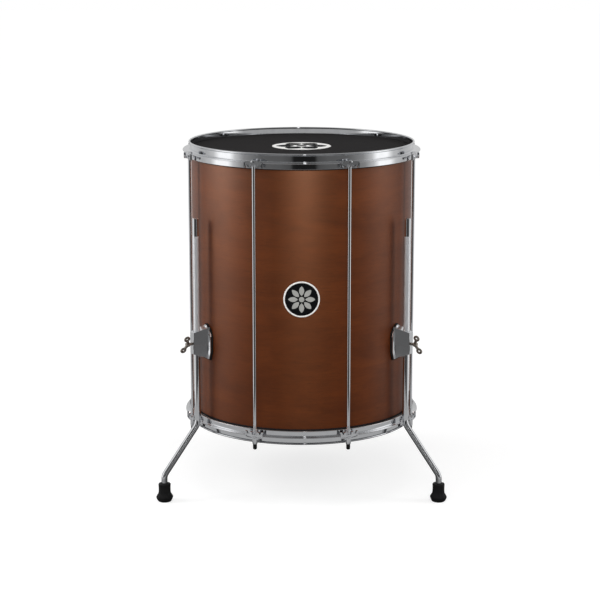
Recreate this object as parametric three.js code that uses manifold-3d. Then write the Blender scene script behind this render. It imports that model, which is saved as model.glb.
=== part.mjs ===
// Surdo: a deep bass drum with a wooden shell, two skins held by pressed steel hoops, eight long
// tension rods from hoop to hoop, and three sliding legs in clamp brackets.
// Millimetres, +Z up. The floor is z = 0 and the drum's front, with the badge, faces -Y.
// An azimuth is an angle round the drum's axis: 0 at the front, positive towards +X.

import * as THREE from "three";
import { mergeVertices } from "three/addons/utils/BufferGeometryUtils.js";
import Module from "manifold-3d";

// General clearances
const FACE_GAP = 0.3; // between two pieces that touch
const RUNNING_GAP = 0.4; // round a shaft that slides or turns in its hole
const CUT_OVERRUN = 5; // how far a cutting tool runs past the faces that it cuts

// Shell
const SHELL_DIAMETER = 457.2;
const SHELL_LENGTH = 560;
const SHELL_WALL = 8;
const EDGE_LAND = 1.5; // flat top of the bearing edge
const EDGE_OUTER_CUT = 1.5; // outer chamfer of the bearing edge
const EDGE_INNER_CUT = 5; // inner slope of the bearing edge
const GROUND_CLEARANCE = 135.2; // from the floor to the lower rim

// Skins and the flesh hoops that they are lapped on
const SKIN_THICKNESS = 0.6;
const FLESH_HOOP_WIDTH = 6.6;
const FLESH_HOOP_HEIGHT = 9;
const FLESH_HOOP_CHAMFER = 1.4;
const PATCH_DIAMETER = 122;
const PATCH_THICKNESS = 0.4;

// Pressed steel hoops: a collar, a ledge that presses on the flesh hoop, a skirt and a flange
const HOOP_HEIGHT = 30;
const RIM_OVERHANG = 14.4; // rim beyond the end of the shell
const COLLAR_WALL = 1.6;
const RIM_BEAD = 1.3; // how far the rolled rim stands out from the collar
const RIM_BEAD_HEIGHT = 3.4;
const LEDGE_DEPTH = 17; // from the rim to the flange
const LEDGE_FILLET = 1.4;
const FLANGE_THICKNESS = 2;
const FLANGE_REACH = 7.6; // flange beyond the skirt
const SKIRT_WALL = 1.7;
const SKIRT_HEM = 1.2; // chamfer of the skirt's free edge

// Tension rods, their claws and their nuts
const ROD_COUNT = 8;
const FIRST_ROD_AZIMUTH = 22.5;
const ROD_DIAMETER = 6.5;
const ROD_INSET = 0.5; // rod axis inside the flange's edge
const ROD_HEAD_DIAMETER = 9.5;
const ROD_HEAD_HEIGHT = 2.6;
const ROD_HEAD_SINK = 1.8; // depth of the seat in the claw
const ROD_TAIL = 8.6; // rod below its nut
const ROD_TAIL_CHAMFER = 1;
const NUT_ACROSS_FLATS = 9.6;
const NUT_HEIGHT = 12.4;
const NUT_END_DIAMETER = 10; // over the corners of its lower end
const NUT_TAPER = 4; // height of its tapered end
const CLAW_WIDTH = 38.5;
const CLAW_RISE = 3.4; // claw above the flange
const CLAW_DROP = 11; // wing tips below the flange
const CLAW_PLATE = 4.8; // radial thickness of the wings
const CLAW_BOSS_DIAMETER = 13;

// Legs
const LEG_AZIMUTHS = [-57.5, 57.5, 180];
const LEG_DIAMETER = 12.4;
const LEG_FLANGE_GAP = 1.3; // between the leg and the flanges' edges
const LEG_RISE = 259; // leg above the middle of its bracket
const FOOT_SPREAD = 80; // foot outside the upper leg
const SPLAY_ANGLE = 39.2; // lower leg from the vertical
const LOWER_BEND_HEIGHT = 54.7;
const UPPER_BEND_RADIUS = 26;
const LOWER_BEND_RADIUS = 20;

// Rubber feet
const FOOT_HEIGHT = 38;
const FOOT_TOP_DIAMETER = 25.4;
const FOOT_WAIST_DIAMETER = 24.4;
const FOOT_SKIRT_DIAMETER = 35.4;
const FOOT_SOLE_DIAMETER = 27;
const FOOT_FLOOR = 11; // rubber below the leg's end

// Leg brackets: a facetted casting on a rubber gasket, screwed on from inside the shell
const BRACKET_ABOVE_SHELL_END = 173.4;
const BRACKET_HEIGHT = 70;
const BRACKET_WIDTH = 38;
const BRACKET_PLATE = 4; // base plate at its edges
const BRACKET_OFFSET = 1.5; // middle of the casting above its wing bolt
const HOUSING_HEIGHT = 66; // where it rises from the base plate
const HOUSING_WIDTH = 27;
const HOUSING_NOSE_HEIGHT = 45;
const HOUSING_NOSE_WIDTH = 18;
const HOUSING_WALL = 5; // metal outside the leg
const GASKET_THICKNESS = 2;
const GASKET_MARGIN = 2.4;
const SCREW_SPACING = 52;
const SCREW_DIAMETER = 4.8;
const SCREW_HEAD_DIAMETER = 9;
const SCREW_HEAD_HEIGHT = 3;
const SCREW_GRIP = 2.5; // screw inside the casting
const WASHER_LENGTH = 70;
const WASHER_WIDTH = 14;
const WASHER_THICKNESS = 1.5;

// Wing bolts
const BOLT_DIAMETER = 6;
const BOLT_NECK = 6; // bare thread outside the bracket
const BOLT_HUB_DIAMETER = 10;
const BOLT_HUB_LENGTH = 8;
const WING_SPAN = 45;
const WING_LENGTH = 15;
const WING_THICKNESS = 4;
const WING_EYE_DIAMETER = 5;
const WING_TILTS = [-32, 23, 30]; // wings from the vertical, as they were left

// Badge
const BADGE_DIAMETER = 72.6;
const BADGE_RIM_WIDTH = 2.6;
const BADGE_RIM_THICKNESS = 1.6;
const BADGE_FACE_THICKNESS = 1;
const BADGE_ABOVE_MIDDLE = 4.6;

// Counts of flats that stand for round surfaces
const RING_SIDES = 48;
const LEG_SIDES = 12;
const ROD_SIDES = 10;
const FOOT_SIDES = 16;
const DISC_SIDES = 36;
const BEND_STEPS = 5;
const HEX_SIDES = 6;

// Radii that follow from the sizes above, from the shell outwards
const shellRadius = SHELL_DIAMETER / 2;
const shellInnerRadius = shellRadius - SHELL_WALL;
const flatShare = Math.cos(Math.PI / RING_SIDES); // a flat's middle, as a share of its corners
const skinInnerRadius = shellRadius + FACE_GAP;
const skinOuterRadius = skinInnerRadius + SKIN_THICKNESS;
const fleshInnerRadius = skinOuterRadius + FACE_GAP;
const fleshOuterRadius = fleshInnerRadius + FLESH_HOOP_WIDTH;
const collarInnerRadius = skinOuterRadius + RUNNING_GAP;
const collarOuterRadius = collarInnerRadius + COLLAR_WALL;
const skirtInnerRadius = fleshOuterRadius + RUNNING_GAP;
const skirtOuterRadius = skirtInnerRadius + SKIRT_WALL;
const flangeRadius = skirtOuterRadius + FLANGE_REACH;
const rodCircleRadius = flangeRadius - ROD_INSET;
const rodRadius = ROD_DIAMETER / 2;
const rodHoleRadius = rodRadius + RUNNING_GAP;
const legRadius = LEG_DIAMETER / 2;
const legCircleRadius = flangeRadius + LEG_FLANGE_GAP + legRadius;
const footCircleRadius = legCircleRadius + FOOT_SPREAD;
const gasketInnerRadius = shellRadius + FACE_GAP;
const gasketOuterRadius = gasketInnerRadius + GASKET_THICKNESS;
const bracketBackRadius = gasketOuterRadius + FACE_GAP;
const bracketPlateRadius = bracketBackRadius + BRACKET_PLATE;
const bracketNoseRadius = legCircleRadius + legRadius + RUNNING_GAP + HOUSING_WALL;

// Heights that follow, from the floor upwards
const lowerRimHeight = GROUND_CLEARANCE;
const shellBottom = lowerRimHeight + RIM_OVERHANG;
const shellTop = shellBottom + SHELL_LENGTH;
const shellMiddle = (shellBottom + shellTop) / 2;
const upperRimHeight = shellTop + RIM_OVERHANG;
const upperLedgeHeight = upperRimHeight - LEDGE_DEPTH;
const lowerLedgeHeight = lowerRimHeight + LEDGE_DEPTH;
const skinUnderside = shellTop + FACE_GAP;
const skinTop = skinUnderside + SKIN_THICKNESS;
const fleshTop = upperLedgeHeight - FLANGE_THICKNESS - FACE_GAP;
const fleshBottom = fleshTop - FLESH_HOOP_HEIGHT;
const bracketHeight = shellBottom + BRACKET_ABOVE_SHELL_END;
const legTop = bracketHeight + LEG_RISE;
const upperBendHeight = LOWER_BEND_HEIGHT + FOOT_SPREAD / Math.tan(THREE.MathUtils.degToRad(SPLAY_ANGLE));
const badgeHeight = shellMiddle + BADGE_ABOVE_MIDDLE;

const rodAzimuths = Array.from({ length: ROD_COUNT }, (_, i) => FIRST_ROD_AZIMUTH + (i * 360) / ROD_COUNT);

// Finishes
const finish = (color, roughness, metalness) => new THREE.MeshStandardMaterial({ color, roughness, metalness });
const stainedWood = finish(0x6b3b24, 0.45, 0);
const chrome = finish(0xd8dadd, 0.12, 1);
const nickel = finish(0xb9b2a8, 0.25, 1);
const aluminium = finish(0xaeb1b5, 0.4, 1);
const zincSteel = finish(0xa9abae, 0.35, 1);
const blackSkin = finish(0x2b2a2a, 0.75, 0);
const blackRubber = finish(0x141414, 0.8, 0);
const whitePlastic = finish(0xe9e7e2, 0.4, 0);
const blackPlastic = finish(0x0c0c0d, 0.25, 0);

// Solids: closed meshes that can be joined and cut
const wasm = await Module();
wasm.setup();

function solidOf(geometry) {
  const bare = geometry.clone();
  bare.deleteAttribute("normal");
  bare.deleteAttribute("uv");
  const merged = mergeVertices(bare);
  const corners = merged.index.array;
  const kept = [];
  for (let i = 0; i < corners.length; i += 3) {
    const [a, b, c] = [corners[i], corners[i + 1], corners[i + 2]];
    if (a !== b && b !== c && c !== a) {
      kept.push(a, b, c);
    }
  }
  return new wasm.Manifold(
    new wasm.Mesh({
      numProp: 3,
      vertProperties: merged.attributes.position.array,
      triVerts: new Uint32Array(kept),
    }),
  );
}

function geometryOf(solid) {
  const mesh = solid.getMesh();
  const geometry = new THREE.BufferGeometry();
  geometry.setAttribute("position", new THREE.BufferAttribute(mesh.vertProperties, 3));
  geometry.setIndex(new THREE.BufferAttribute(mesh.triVerts, 1));
  geometry.computeVertexNormals();
  return geometry;
}

// A body of revolution about Z. The outline is a list of [radius, height], counterclockwise.
function turned(outline, sides) {
  const points = outline.map(([radius, height]) => new THREE.Vector2(radius, height));
  const closesOnItself = outline[0][0] > 0 || outline.at(-1)[0] > 0;
  if (closesOnItself) {
    points.push(points[0].clone());
  }
  return new THREE.LatheGeometry(points, sides).rotateX(Math.PI / 2);
}

// A flat outline [[x, y], ...] given a thickness along Z, from low to high
function slab(outline, low, high) {
  const shape = new THREE.Shape(outline.map(([x, y]) => new THREE.Vector2(x, y)));
  const body = new THREE.ExtrudeGeometry(shape, { depth: high - low, bevelEnabled: false });
  return body.translate(0, 0, low);
}

// An outline in the radial-vertical plane [[radius, height], ...], wide across the tangent
const slabAcross = (outline, width) => slab(outline, -width / 2, width / 2).rotateX(Math.PI / 2);

// An outline in the tangent-vertical plane [[across, height], ...], from one radius to another
const slabOutward = (outline, from, to) => slab(outline, from, to).rotateX(Math.PI / 2).rotateZ(Math.PI / 2);

const rod = (radius, low, high, sides) =>
  turned([[0, low], [radius, low], [radius, high], [0, high]], sides);

// A round bar that points outwards, with its axis at the given height
const radialBar = (radius, from, to, height, sides) =>
  rod(radius, from, to, sides).rotateY(Math.PI / 2).translate(0, 0, height);

const ring = (inner, outer, low, high) =>
  turned([[inner, low], [outer, low], [outer, high], [inner, high]], RING_SIDES);

// Pieces made at azimuth "outwards along +X" are turned to their place round the drum
const turnTo = (azimuth) => THREE.MathUtils.degToRad(azimuth - 90);

const joined = (...geometries) => geometries.map(solidOf).reduce((whole, next) => whole.add(next));
const cut = (solid, ...tools) => tools.reduce((rest, tool) => rest.subtract(solidOf(tool)), solid);

const assembly = new THREE.Group();

function place(name, geometry, material) {
  const mesh = new THREE.Mesh(geometry, material);
  mesh.name = name;
  assembly.add(mesh);
  return mesh;
}

function placeRound(name, geometry, material, azimuth, radius = 0) {
  const mesh = place(name, geometry, material);
  const angle = turnTo(azimuth);
  mesh.rotation.set(0, 0, angle, "ZYX");
  mesh.position.set(radius * Math.cos(angle), radius * Math.sin(angle), 0);
  return mesh;
}

// The lower end of the drum is the upper end upside down
const flipped = (outline) => outline.map(([radius, height]) => [radius, 2 * shellMiddle - height]).reverse();

// Shell with a bearing edge at each end, and the holes of the bracket screws
const screwHeights = [bracketHeight - SCREW_SPACING / 2, bracketHeight + SCREW_SPACING / 2];
const screwHoleRadius = SCREW_DIAMETER / 2 + RUNNING_GAP;

function screwHoles(azimuth, from, to) {
  return screwHeights.map((height) =>
    radialBar(screwHoleRadius, from, to, height, ROD_SIDES).rotateZ(turnTo(azimuth)),
  );
}

function shellGeometry() {
  const landOuter = shellRadius - EDGE_OUTER_CUT;
  const landInner = landOuter - EDGE_LAND;
  const upperEdge = [
    [shellRadius, shellTop - EDGE_OUTER_CUT],
    [landOuter, shellTop],
    [landInner, shellTop],
    [shellInnerRadius, shellTop - EDGE_INNER_CUT],
  ];
  const tube = solidOf(turned([...flipped(upperEdge), ...upperEdge], RING_SIDES));
  const holes = LEG_AZIMUTHS.flatMap((azimuth) =>
    screwHoles(azimuth, shellInnerRadius - CUT_OVERRUN, shellRadius + CUT_OVERRUN),
  );
  return geometryOf(cut(tube, ...holes));
}

// A skin is flat over the bearing edge and turns down into its flesh hoop
const skinOutline = [
  [0, skinUnderside],
  [shellRadius - EDGE_OUTER_CUT, skinUnderside],
  [skinInnerRadius, shellTop - EDGE_OUTER_CUT],
  [skinInnerRadius, fleshBottom],
  [skinOuterRadius, fleshBottom],
  [skinOuterRadius, shellTop - EDGE_OUTER_CUT + SKIN_THICKNESS],
  [shellRadius - EDGE_OUTER_CUT + SKIN_THICKNESS, skinTop],
  [0, skinTop],
];

const fleshHoopOutline = [
  [fleshInnerRadius, fleshBottom],
  [fleshOuterRadius - FLESH_HOOP_CHAMFER, fleshBottom],
  [fleshOuterRadius, fleshBottom + FLESH_HOOP_CHAMFER],
  [fleshOuterRadius, fleshTop],
  [fleshInnerRadius, fleshTop],
];

// A hoop's section, and the notches in its flange that the rods pass through
const rimBeadRadius = collarOuterRadius + RIM_BEAD;
const flangeUnderside = upperLedgeHeight - FLANGE_THICKNESS;
const skirtEnd = upperRimHeight - HOOP_HEIGHT;
const hoopOutline = [
  [collarInnerRadius, flangeUnderside],
  [skirtInnerRadius, flangeUnderside],
  [skirtInnerRadius, skirtEnd],
  [skirtOuterRadius - SKIRT_HEM / 2, skirtEnd],
  [skirtOuterRadius, skirtEnd + SKIRT_HEM],
  [skirtOuterRadius, flangeUnderside],
  [flangeRadius, flangeUnderside],
  [flangeRadius, upperLedgeHeight - FLANGE_THICKNESS / 4],
  [flangeRadius - FLANGE_THICKNESS / 4, upperLedgeHeight],
  [collarOuterRadius + LEDGE_FILLET, upperLedgeHeight],
  [collarOuterRadius, upperLedgeHeight + LEDGE_FILLET],
  [collarOuterRadius, upperRimHeight - RIM_BEAD_HEIGHT],
  [rimBeadRadius, upperRimHeight - RIM_BEAD_HEIGHT / 2],
  [collarOuterRadius + RIM_BEAD / 2, upperRimHeight - RIM_BEAD / 4],
  [collarOuterRadius - COLLAR_WALL / 2, upperRimHeight],
  [collarInnerRadius, upperRimHeight - COLLAR_WALL / 2],
];

function hoopGeometry(outline, ledgeHeight) {
  const notchDepth = FLANGE_THICKNESS + CUT_OVERRUN;
  const notches = rodAzimuths.map((azimuth) =>
    rod(rodHoleRadius, ledgeHeight - notchDepth, ledgeHeight + notchDepth, ROD_SIDES)
      .translate(rodCircleRadius, 0, 0)
      .rotateZ(turnTo(azimuth)),
  );
  return geometryOf(cut(solidOf(turned(outline, RING_SIDES)), ...notches));
}

// Half of a claw seen from outside, with a tip at its end and a lobe beside the rod: across as a
// share of half the claw's width, height as a share of the rise above the flange or the drop below
const CLAW_UPPER_SHARES = [[0.34, 1], [0.88, 0.5]];
const CLAW_TIP_SHARES = [[1, 0.1], [0.99, 1], [0.84, 1], [0.72, 0.5]];
const CLAW_LOBE_SHARES = [[0.6, 0.52], [0.5, 0.88], [0.28, 0.88], [0.22, 0.4], [0, 0.4]];

function clawOutline() {
  const half = CLAW_WIDTH / 2;
  const upper = CLAW_UPPER_SHARES.map(([across, up]) => [across * half, up * CLAW_RISE]);
  const lower = [...CLAW_TIP_SHARES, ...CLAW_LOBE_SHARES].map(([across, down]) => [across * half, -down * CLAW_DROP]);
  const right = [...upper, ...lower];
  const left = right.slice(0, -1).map(([across, up]) => [-across, up]);
  return [...right, ...left.reverse()];
}

// A claw saddles the flange's edge: a boss on the flange, with a seat for the rod's head, and
// wings that hang outside the edge.
// Its rod's axis is the Z axis and the flange's upper face is z = 0.
function clawGeometry() {
  const wingInside = flangeRadius - rodCircleRadius + RUNNING_GAP;
  const wings = slabOutward(clawOutline(), wingInside, wingInside + CLAW_PLATE);
  const boss = rod(CLAW_BOSS_DIAMETER / 2, FACE_GAP, CLAW_RISE, ROD_SIDES);
  const hole = rod(rodHoleRadius, -CLAW_DROP - CUT_OVERRUN, CLAW_RISE + CUT_OVERRUN, ROD_SIDES);
  const seatRadius = ROD_HEAD_DIAMETER / 2 + RUNNING_GAP;
  const seat = rod(seatRadius, CLAW_RISE - ROD_HEAD_SINK, CLAW_RISE + CUT_OVERRUN, ROD_SIDES);
  return geometryOf(cut(joined(boss, wings), hole, seat));
}

// A rod hangs by its head from the upper claw and ends below its nut
const clawTop = upperLedgeHeight + CLAW_RISE;
const clawBottom = lowerLedgeHeight - CLAW_RISE;
const nutTop = clawBottom - FACE_GAP;
const nutBottom = nutTop - NUT_HEIGHT;
const rodEnd = nutBottom - ROD_TAIL;

function rodGeometry() {
  const headRadius = ROD_HEAD_DIAMETER / 2;
  const headBottom = clawTop - ROD_HEAD_SINK + FACE_GAP;
  const headTop = headBottom + ROD_HEAD_HEIGHT;
  return turned(
    [
      [0, rodEnd],
      [rodRadius - ROD_TAIL_CHAMFER, rodEnd],
      [rodRadius, rodEnd + ROD_TAIL_CHAMFER],
      [rodRadius, headBottom],
      [headRadius, headBottom],
      [headRadius, headBottom + ROD_HEAD_HEIGHT / 2],
      [headRadius / 2, headTop],
      [0, headTop],
    ],
    ROD_SIDES,
  );
}

function nutGeometry() {
  const cornerRadius = NUT_ACROSS_FLATS / 2 / Math.cos(Math.PI / HEX_SIDES);
  const body = turned(
    [
      [0, nutBottom],
      [NUT_END_DIAMETER / 2, nutBottom],
      [cornerRadius, nutBottom + NUT_TAPER],
      [cornerRadius, nutTop],
      [0, nutTop],
    ],
    HEX_SIDES,
  );
  const bore = rod(rodRadius + FACE_GAP, nutBottom - CUT_OVERRUN, nutTop + CUT_OVERRUN, ROD_SIDES);
  return geometryOf(cut(solidOf(body), bore));
}

// A path through chosen points, one step to each, so that only the bends are finely divided
class StationPath extends THREE.Curve {
  constructor(stations) {
    super();
    this.stations = stations;
  }

  getPoint(t, target = new THREE.Vector3()) {
    const steps = this.stations.length - 1;
    const step = Math.min(Math.floor(t * steps), steps - 1);
    return target.lerpVectors(this.stations[step], this.stations[step + 1], t * steps - step);
  }

  getPointAt(u, target) {
    return this.getPoint(u, target);
  }

  getTangentAt(u, target) {
    return this.getTangent(u, target);
  }
}

// The points of an arc that rounds the corner of a polyline
function roundedCorner(before, corner, after, radius) {
  const inward = before.clone().sub(corner).normalize();
  const outward = after.clone().sub(corner).normalize();
  const turn = Math.PI - inward.angleTo(outward);
  const setback = radius * Math.tan(turn / 2);
  const bisector = inward.clone().add(outward).normalize();
  const centre = corner.clone().addScaledVector(bisector, radius / Math.cos(turn / 2));
  const start = corner.clone().addScaledVector(inward, setback).sub(centre);
  const axis = inward.clone().negate().cross(outward).normalize();
  return Array.from({ length: BEND_STEPS + 1 }, (_, i) =>
    start.clone().applyAxisAngle(axis, (turn * i) / BEND_STEPS).add(centre),
  );
}

// A leg: straight down through its bracket, outwards below the drum, and upright into its foot
function legGeometry() {
  const top = new THREE.Vector3(legCircleRadius, 0, legTop);
  const upperCorner = new THREE.Vector3(legCircleRadius, 0, upperBendHeight);
  const lowerCorner = new THREE.Vector3(footCircleRadius, 0, LOWER_BEND_HEIGHT);
  const end = new THREE.Vector3(footCircleRadius, 0, FOOT_FLOOR + FACE_GAP);
  const stations = [
    top,
    ...roundedCorner(top, upperCorner, lowerCorner, UPPER_BEND_RADIUS),
    ...roundedCorner(upperCorner, lowerCorner, end, LOWER_BEND_RADIUS),
    end,
  ];
  const section = new THREE.Shape(
    Array.from({ length: LEG_SIDES }, (_, i) => {
      const angle = (i * 2 * Math.PI) / LEG_SIDES;
      return new THREE.Vector2(legRadius * Math.cos(angle), legRadius * Math.sin(angle));
    }),
  );
  return new THREE.ExtrudeGeometry(section, {
    steps: stations.length - 1,
    extrudePath: new StationPath(stations),
    bevelEnabled: false,
  });
}

// The foot's sides: heights as shares of the foot's height
const FOOT_WAIST_SHARE = 0.48;
const FOOT_SKIRT_SHARE = 0.28;
const FOOT_HEM_SHARE = 0.2;

function footGeometry() {
  const socketRadius = legRadius + FACE_GAP;
  return turned(
    [
      [0, 0],
      [FOOT_SOLE_DIAMETER / 2, 0],
      [FOOT_SKIRT_DIAMETER / 2, FOOT_HEM_SHARE * FOOT_HEIGHT],
      [FOOT_SKIRT_DIAMETER / 2, FOOT_SKIRT_SHARE * FOOT_HEIGHT],
      [FOOT_WAIST_DIAMETER / 2, FOOT_WAIST_SHARE * FOOT_HEIGHT],
      [FOOT_TOP_DIAMETER / 2, FOOT_HEIGHT],
      [socketRadius, FOOT_HEIGHT],
      [socketRadius, FOOT_FLOOR],
      [0, FOOT_FLOOR],
    ],
    FOOT_SIDES,
  );
}

// Half of a bracket's base seen from outside, an arch above and a taper below: across and up as
// shares of half the bracket's width and height. Heights are from the wing bolt's axis.
const PLATE_LOWER_SHARES = [[0.71, -1], [1, -0.53]];
const PLATE_UPPER_SHARES = [[1, 0.36], [0.9, 0.59], [0.58, 0.82], [0.16, 1]];

function plateOutline(margin) {
  const half = [...PLATE_LOWER_SHARES, ...PLATE_UPPER_SHARES].map(([across, up]) => [
    (across * BRACKET_WIDTH) / 2 + margin,
    BRACKET_OFFSET + (up * BRACKET_HEIGHT) / 2 + Math.sign(up) * margin,
  ]);
  const left = half.map(([across, height]) => [-across, height]).reverse();
  return [...half, ...left];
}

// The housing is where three tapers meet: seen from the side, from above and from outside
const HOUSING_SHOULDER_SHARE = 0.05; // lower shoulder below the middle, of the housing's height
const HOUSING_TOP_SHARE = 0.8; // width at the top, of the housing's width
const HOUSING_BOTTOM_SHARE = 0.82; // width at the bottom, of the housing's width

function housingSolid() {
  const inside = bracketBackRadius - CUT_OVERRUN;
  const noseTop = BRACKET_OFFSET + HOUSING_NOSE_HEIGHT / 2;
  const noseBottom = BRACKET_OFFSET - HOUSING_NOSE_HEIGHT / 2;
  const half = HOUSING_HEIGHT / 2;
  const wide = HOUSING_WIDTH / 2;
  const side = [
    [inside, -half],
    [bracketPlateRadius, -half],
    [bracketNoseRadius, noseBottom],
    [bracketNoseRadius, noseTop],
    [bracketPlateRadius, half],
    [inside, half],
  ];
  const above = [
    [inside, -wide],
    [bracketPlateRadius, -wide],
    [bracketNoseRadius, -HOUSING_NOSE_WIDTH / 2],
    [bracketNoseRadius, HOUSING_NOSE_WIDTH / 2],
    [bracketPlateRadius, wide],
    [inside, wide],
  ];
  const front = [
    [wide * HOUSING_BOTTOM_SHARE, -half],
    [wide, -HOUSING_SHOULDER_SHARE * HOUSING_HEIGHT],
    [wide, noseTop],
    [wide * HOUSING_TOP_SHARE, half],
    [-wide * HOUSING_TOP_SHARE, half],
    [-wide, noseTop],
    [-wide, -HOUSING_SHOULDER_SHARE * HOUSING_HEIGHT],
    [-wide * HOUSING_BOTTOM_SHARE, -half],
  ];
  return solidOf(slabAcross(side, BRACKET_WIDTH))
    .intersect(solidOf(slab(above, -BRACKET_HEIGHT, BRACKET_HEIGHT)))
    .intersect(solidOf(slabOutward(front, inside, bracketNoseRadius + CUT_OVERRUN)));
}

// A bracket in its place at an azimuth, with the leg's bore, the wing bolt's hole and screw holes
function bracketGeometry(azimuth) {
  const plate = slabOutward(plateOutline(0), bracketBackRadius - CUT_OVERRUN, bracketPlateRadius);
  const casting = geometryOf(housingSolid().add(solidOf(plate)))
    .translate(0, 0, bracketHeight)
    .rotateZ(turnTo(azimuth));
  const drum = rod(bracketBackRadius, shellBottom, shellTop, RING_SIDES);
  const bore = rod(legRadius + RUNNING_GAP, shellBottom, shellTop, LEG_SIDES)
    .translate(legCircleRadius, 0, 0)
    .rotateZ(turnTo(azimuth));
  const boltHole = radialBar(
    BOLT_DIAMETER / 2 + RUNNING_GAP,
    legCircleRadius,
    bracketNoseRadius + CUT_OVERRUN,
    bracketHeight,
    ROD_SIDES,
  ).rotateZ(turnTo(azimuth));
  const threads = screwHoles(azimuth, bracketBackRadius - CUT_OVERRUN, screwTip + FACE_GAP);
  return geometryOf(cut(solidOf(casting), drum, bore, boltHole, ...threads));
}

const screwTip = bracketBackRadius + SCREW_GRIP;

function gasketGeometry(azimuth) {
  const outline = slabOutward(plateOutline(GASKET_MARGIN), shellInnerRadius, bracketNoseRadius)
    .translate(0, 0, bracketHeight)
    .rotateZ(turnTo(azimuth));
  const sleeve = ring(gasketInnerRadius, gasketOuterRadius, shellBottom, shellTop);
  const holes = screwHoles(azimuth, gasketInnerRadius - CUT_OVERRUN, gasketOuterRadius + CUT_OVERRUN);
  return geometryOf(cut(solidOf(sleeve).intersect(solidOf(outline)), ...holes));
}

// Inside the shell: a strip washer and the two screws that hold a bracket
function fixingGeometry() {
  const washerOutside = shellInnerRadius * flatShare - FACE_GAP;
  const washerInside = washerOutside - WASHER_THICKNESS;
  const halfLength = WASHER_LENGTH / 2;
  const halfWidth = WASHER_WIDTH / 2;
  const strip = slabOutward(
    [[halfWidth, -halfLength], [halfWidth, halfLength], [-halfWidth, halfLength], [-halfWidth, -halfLength]],
    washerInside,
    washerOutside,
  ).translate(0, 0, bracketHeight);
  const headRadius = SCREW_HEAD_DIAMETER / 2;
  const headInside = washerInside - SCREW_HEAD_HEIGHT;
  const bars = screwHeights.flatMap((height) => [
    radialBar(headRadius, headInside, washerOutside - FACE_GAP, height, ROD_SIDES),
    radialBar(SCREW_DIAMETER / 2, headInside + FACE_GAP, screwTip, height, ROD_SIDES),
  ]);
  return geometryOf(joined(strip, ...bars));
}

// The wings of a bolt, seen along their thickness: along the bolt as a share of the wings'
// length, across as a share of half their span
const WING_ROOT_SHARES = [[0, 0.2], [0.3, 0.34], [0.3, 0.5], [0.22, 0.72], [0.36, 0.93]];
const WING_TIP_SHARES = [[0.66, 1], [0.96, 0.93], [1.1, 0.7], [0.98, 0.48], [0.66, 0.36], [0.5, 0.12]];
const WING_EYE_SHARES = [0.66, 0.7];

function wingBoltGeometry(tilt) {
  const shankInside = legCircleRadius + legRadius + FACE_GAP;
  const hubInside = bracketNoseRadius + BOLT_NECK;
  const hubOutside = hubInside + BOLT_HUB_LENGTH;
  const half = WING_SPAN / 2;
  const right = [...WING_ROOT_SHARES, ...WING_TIP_SHARES].map(([along, across]) => [
    hubInside + along * WING_LENGTH,
    across * half,
  ]);
  const left = right.map(([along, across]) => [along, -across]).reverse();
  const wings = slab([...left, ...right], -WING_THICKNESS / 2, WING_THICKNESS / 2);
  const [eyeAlong, eyeAcross] = WING_EYE_SHARES;
  const eyes = [-1, 1].map((way) =>
    rod(WING_EYE_DIAMETER / 2, -CUT_OVERRUN, CUT_OVERRUN, ROD_SIDES).translate(
      hubInside + eyeAlong * WING_LENGTH,
      way * eyeAcross * half,
      0,
    ),
  );
  const shank = radialBar(BOLT_DIAMETER / 2, shankInside, hubInside + FACE_GAP, 0, ROD_SIDES);
  const hub = radialBar(BOLT_HUB_DIAMETER / 2, hubInside, hubOutside, 0, ROD_SIDES);
  return geometryOf(cut(joined(wings, hub, shank), ...eyes))
    .rotateX(Math.PI / 2 + THREE.MathUtils.degToRad(tilt))
    .translate(0, 0, bracketHeight);
}

// Badge: a rim and a face, both bent to the shell
function badgeGeometry(innerRadius, outerRadius, thickness) {
  const surface = shellRadius + FACE_GAP;
  const sleeve = solidOf(ring(surface, surface + thickness, shellBottom, shellTop));
  const reach = surface + thickness + CUT_OVERRUN;
  const disc = solidOf(radialBar(outerRadius, 0, reach, badgeHeight, DISC_SIDES).rotateZ(turnTo(0)));
  const piece = sleeve.intersect(disc);
  if (innerRadius === 0) {
    return geometryOf(piece);
  }
  return geometryOf(cut(piece, radialBar(innerRadius, 0, reach, badgeHeight, DISC_SIDES).rotateZ(turnTo(0))));
}

// Assembly: the shell, its skins and its hoops
place("shell", shellGeometry(), stainedWood);
place("top_head", turned(skinOutline, RING_SIDES), blackSkin);
place("bottom_head", turned(flipped(skinOutline), RING_SIDES), blackSkin);
place("top_flesh_hoop", turned(fleshHoopOutline, RING_SIDES), aluminium);
place("bottom_flesh_hoop", turned(flipped(fleshHoopOutline), RING_SIDES), aluminium);
place("top_hoop", hoopGeometry(hoopOutline, upperLedgeHeight), chrome);
place("bottom_hoop", hoopGeometry(flipped(hoopOutline), lowerLedgeHeight), chrome);
const patchBottom = skinTop + FACE_GAP;
place("head_patch", rod(PATCH_DIAMETER / 2, patchBottom, patchBottom + PATCH_THICKNESS, DISC_SIDES), whitePlastic);

// Badge on the front
const badgeFaceRadius = BADGE_DIAMETER / 2 - BADGE_RIM_WIDTH;
place("badge_rim", badgeGeometry(badgeFaceRadius, BADGE_DIAMETER / 2, BADGE_RIM_THICKNESS), whitePlastic);
place("badge_face", badgeGeometry(0, badgeFaceRadius - FACE_GAP, BADGE_FACE_THICKNESS), blackPlastic);

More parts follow.
